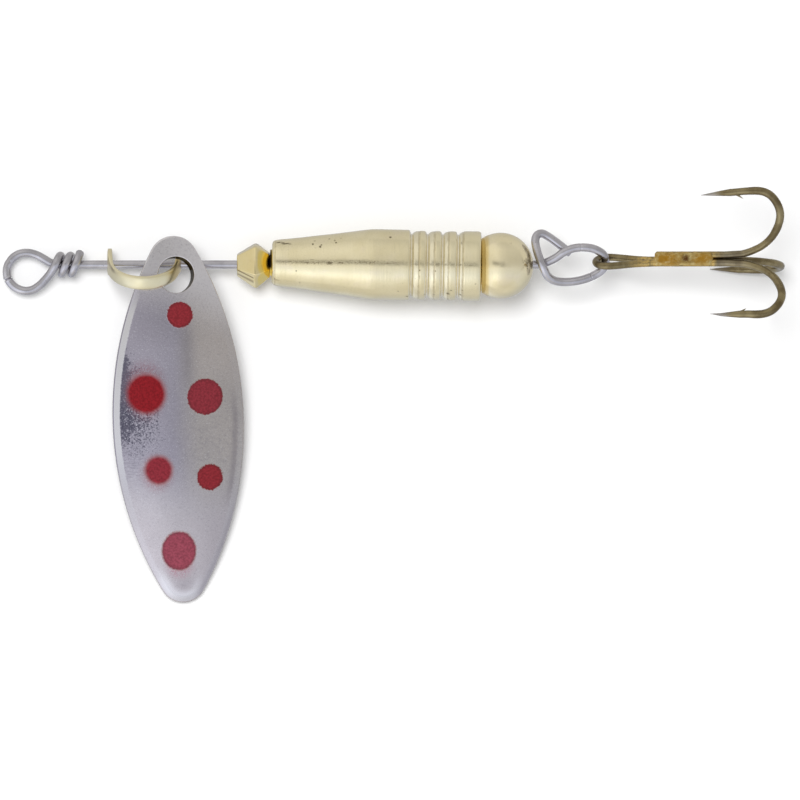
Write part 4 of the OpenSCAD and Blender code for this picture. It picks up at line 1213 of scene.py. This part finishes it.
nb, mb = 64, 90
hull = [round_triangle(2 * math.pi * k / nb, HOOK_R + 0.05) for k in range(nb)]
zv = []
for i in range(mb):
    f = i / (mb - 1)
    for k in range(nb):
        a = 2 * math.pi * k / nb
        jag = 0.16 * lump((math.cos(a), math.sin(a), 0), 1.6, 2.0)
        x = 5.0 + f * 5.85 + (jag - 0.06) * step(0.85, 1.0, f) + 0.04 * (1 - f) * jag
        taper = 1 - 0.16 * step(0.965, 1.0, f) - 0.05 * step(0.02, 0.0, f)
        p = (x, math.cos(a), math.sin(a))
        bumpy = 0.028 * lump(p, 1.5, 5.0) + 0.014 * lump(p, 4.0, 9.0)
        r = (hull[k] + bumpy) * taper
        # the edges of the outer shanks stand clear of it
        zv.append([x, max(-0.575, min(0.655 + 0.5 * bumpy, r * math.cos(a))), r * math.sin(a)])
zf = [(i * nb + k, i * nb + (k + 1) % nb, (i + 1) * nb + (k + 1) % nb, (i + 1) * nb + k)
      for i in range(mb - 1) for k in range(nb)]
zf += [tuple(range(nb - 1, -1, -1)), tuple((mb - 1) * nb + k for k in range(nb))]
piece("braze_sleeve", in_place(zv), zf, braze_metal(), "hook", ["braze_joint"], 60)

# ---------------------------------------------------------------- floor, light, camera
lo, hi = cad_box
fm = bpy.data.meshes.new("floor")
fm.from_pydata([(-3, -3, lo[2]), (3, -3, lo[2]), (3, 3, lo[2]), (-3, 3, lo[2])], [], [(0, 1, 2, 3)])
floor = bpy.data.objects.new("floor", fm)
scene.collection.objects.link(floor)
m, t, b = material("pale_table")
tone = grain(t, in_mm(t), 0.02, 2)
t.links.new(blend(t, tone, (0.86, 0.86, 0.865), (0.88, 0.88, 0.88)), b.inputs["Base Color"])
b.inputs["Roughness"].default_value = 0.75
b.inputs["Specular IOR Level"].default_value = 0.15
fm.materials.append(m)
floor.visible_glossy = False

world = bpy.data.worlds.new("studio")
scene.world = world
world.use_nodes = True
t = world.node_tree
t.nodes.clear()
way = add(t, "ShaderNodeTexCoord").outputs["Generated"]


def towards(axis):
    return add(t, "ShaderNodeVectorMath", {0: way, 1: tuple(axis)}, operation="DOT_PRODUCT").outputs["Value"]


dx, dy, dz = towards(SX), towards(SY), towards(SZ)
# angles from the zenith, in degrees: across (ax) and up the picture (ay)
ax = mth(t, "MULTIPLY", mth(t, "ARCSINE", dx), 180 / math.pi)
ay = mth(t, "MULTIPLY", mth(t, "ARCSINE", dy), 180 / math.pi)


def curve(x, points):
    """A smooth function through [angle, value] points."""
    lo, hi = points[0][0], points[-1][0]
    n = t.nodes.new("ShaderNodeFloatCurve")
    c = n.mapping.curves[0]
    for k, (a, v) in enumerate(points):
        f = (a - lo) / (hi - lo)
        if k == 0:
            c.points[0].location = (f, v / 1.2)
        elif k == len(points) - 1:
            c.points[-1].location = (f, v / 1.2)
        else:
            c.points.new(f, v / 1.2)
    n.mapping.update()
    t.links.new(add(t, "ShaderNodeMapRange", {0: x, 1: lo, 2: hi, 3: 0.0, 4: 1.0}).outputs[0], n.inputs["Value"])
    return mth(t, "MULTIPLY", n.outputs[0], 1.2)


light = curve(ay, [(-90, 0.79), (-75, 0.86), (-60, 0.965), (-48, 1.02), (-36, 1.03), (-21, 0.98), (-10, 0.945), (0, 0.82),
                   (10, 0.77), (25, 0.78), (40, 0.82), (57, 0.82), (75, 0.74), (90, 0.66)])
light = mth(t, "MULTIPLY", light, curve(ax, [(-90, 0.9), (-40, 0.98), (-15, 1.0), (0, 0.87), (20, 0.76), (45, 0.72), (90, 0.7)]))
# a narrow dark band overhead, slanted across the picture
line = mth(t, "ADD", ay, mth(t, "ADD", mth(t, "MULTIPLY", ax, 0.2), -4.0))
line = mth(t, "DIVIDE", line, 7.0)
band = mth(t, "EXPONENT", mth(t, "MULTIPLY", mth(t, "MULTIPLY", line, line), -1.0))
depth = curve(ax, [(-60, 0.0), (-34, 0.05), (-20, 0.55), (-12, 0.55), (0, 0.42), (10, 0.3), (25, 0.1), (45, 0.0), (60, 0.0)])
light = mth(t, "MULTIPLY", light, mth(t, "SUBTRACT", 1.0, mth(t, "MULTIPLY", band, depth)))
# below the horizon, where polished metal sees the table
below = rise(t, dz, 0.1, -0.1)
under = mth(t, "ADD", rise(t, dz, -0.2, -1.0, 0.65, 0.57), mth(t, "MULTIPLY", rise(t, dy, 0.3, -0.3), rise(t, dz, -0.15, -0.7, 0.05, -0.035)))
light = mth(t, "ADD", mth(t, "MULTIPLY", light, mth(t, "SUBTRACT", 1.0, below)), mth(t, "MULTIPLY", under, below))
# a soft lamp head above and to the front, slightly cool in the polished metal
gx, gy = mth(t, "DIVIDE", mth(t, "ADD", ax, 18), 14), mth(t, "DIVIDE", mth(t, "ADD", ay, 42), 15)
lamp = mth(t, "EXPONENT", mth(t, "MULTIPLY", mth(t, "ADD", mth(t, "MULTIPLY", gx, gx), mth(t, "MULTIPLY", gy, gy)), -1.0))
light = mth(t, "ADD", light, mth(t, "MULTIPLY", lamp, 0.24))
gy = mth(t, "DIVIDE", mth(t, "ADD", ay, 31), 26)
cool = mth(t, "EXPONENT", mth(t, "MULTIPLY", mth(t, "MULTIPLY", gy, gy), -1.0))
shade = blend(t, cool, (1.0, 0.995, 0.985), (0.98, 1.03, 1.15))
# matt surfaces get a plain, weaker fill, so the lamp's shadow shows on the table
matt = add(t, "ShaderNodeLightPath").outputs["Is Diffuse Ray"]
shade = blend(t, matt, shade, (1.0, 1.0, 1.0))
light = mth(t, "MULTIPLY", light, mth(t, "SUBTRACT", 1.0, mth(t, "MULTIPLY", matt, 0.14)))
bg = add(t, "ShaderNodeBackground", {"Color": shade, "Strength": light})
wo = t.nodes.new("ShaderNodeOutputWorld")
t.links.new(bg.outputs[0], wo.inputs[0])

mid = Vector(row([37.4, -13.55, 0]))
ld = bpy.data.lights.new("key", "AREA")
ld.shape, ld.size, ld.energy = "DISK", 0.48, 6.5
key = bpy.data.objects.new("key", ld)
key.location = mid + Vector((-0.2, 0.23, 0.90))
key.rotation_euler = (mid - key.location).to_track_quat("-Z", "Y").to_euler()
key.visible_glossy = False
scene.collection.objects.link(key)

cd = bpy.data.cameras.new("camera")
cd.sensor_width, cd.lens, cd.clip_start, cd.clip_end = 36.0, 450.0, 0.05, 20.0
cam = bpy.data.objects.new("camera", cd)
cam.matrix_world = Matrix((
    (SX[0], SY[0], SZ[0], mid[0] + SZ[0]), (SX[1], SY[1], SZ[1], mid[1] + SZ[1]),
    (SX[2], SY[2], SZ[2], mid[2] + SZ[2]), (0, 0, 0, 1)))
scene.collection.objects.link(cam)
scene.camera = cam
scene.view_settings.view_transform = "Standard"
scene.view_settings.look = "None"

bpy.context.view_layer.update()
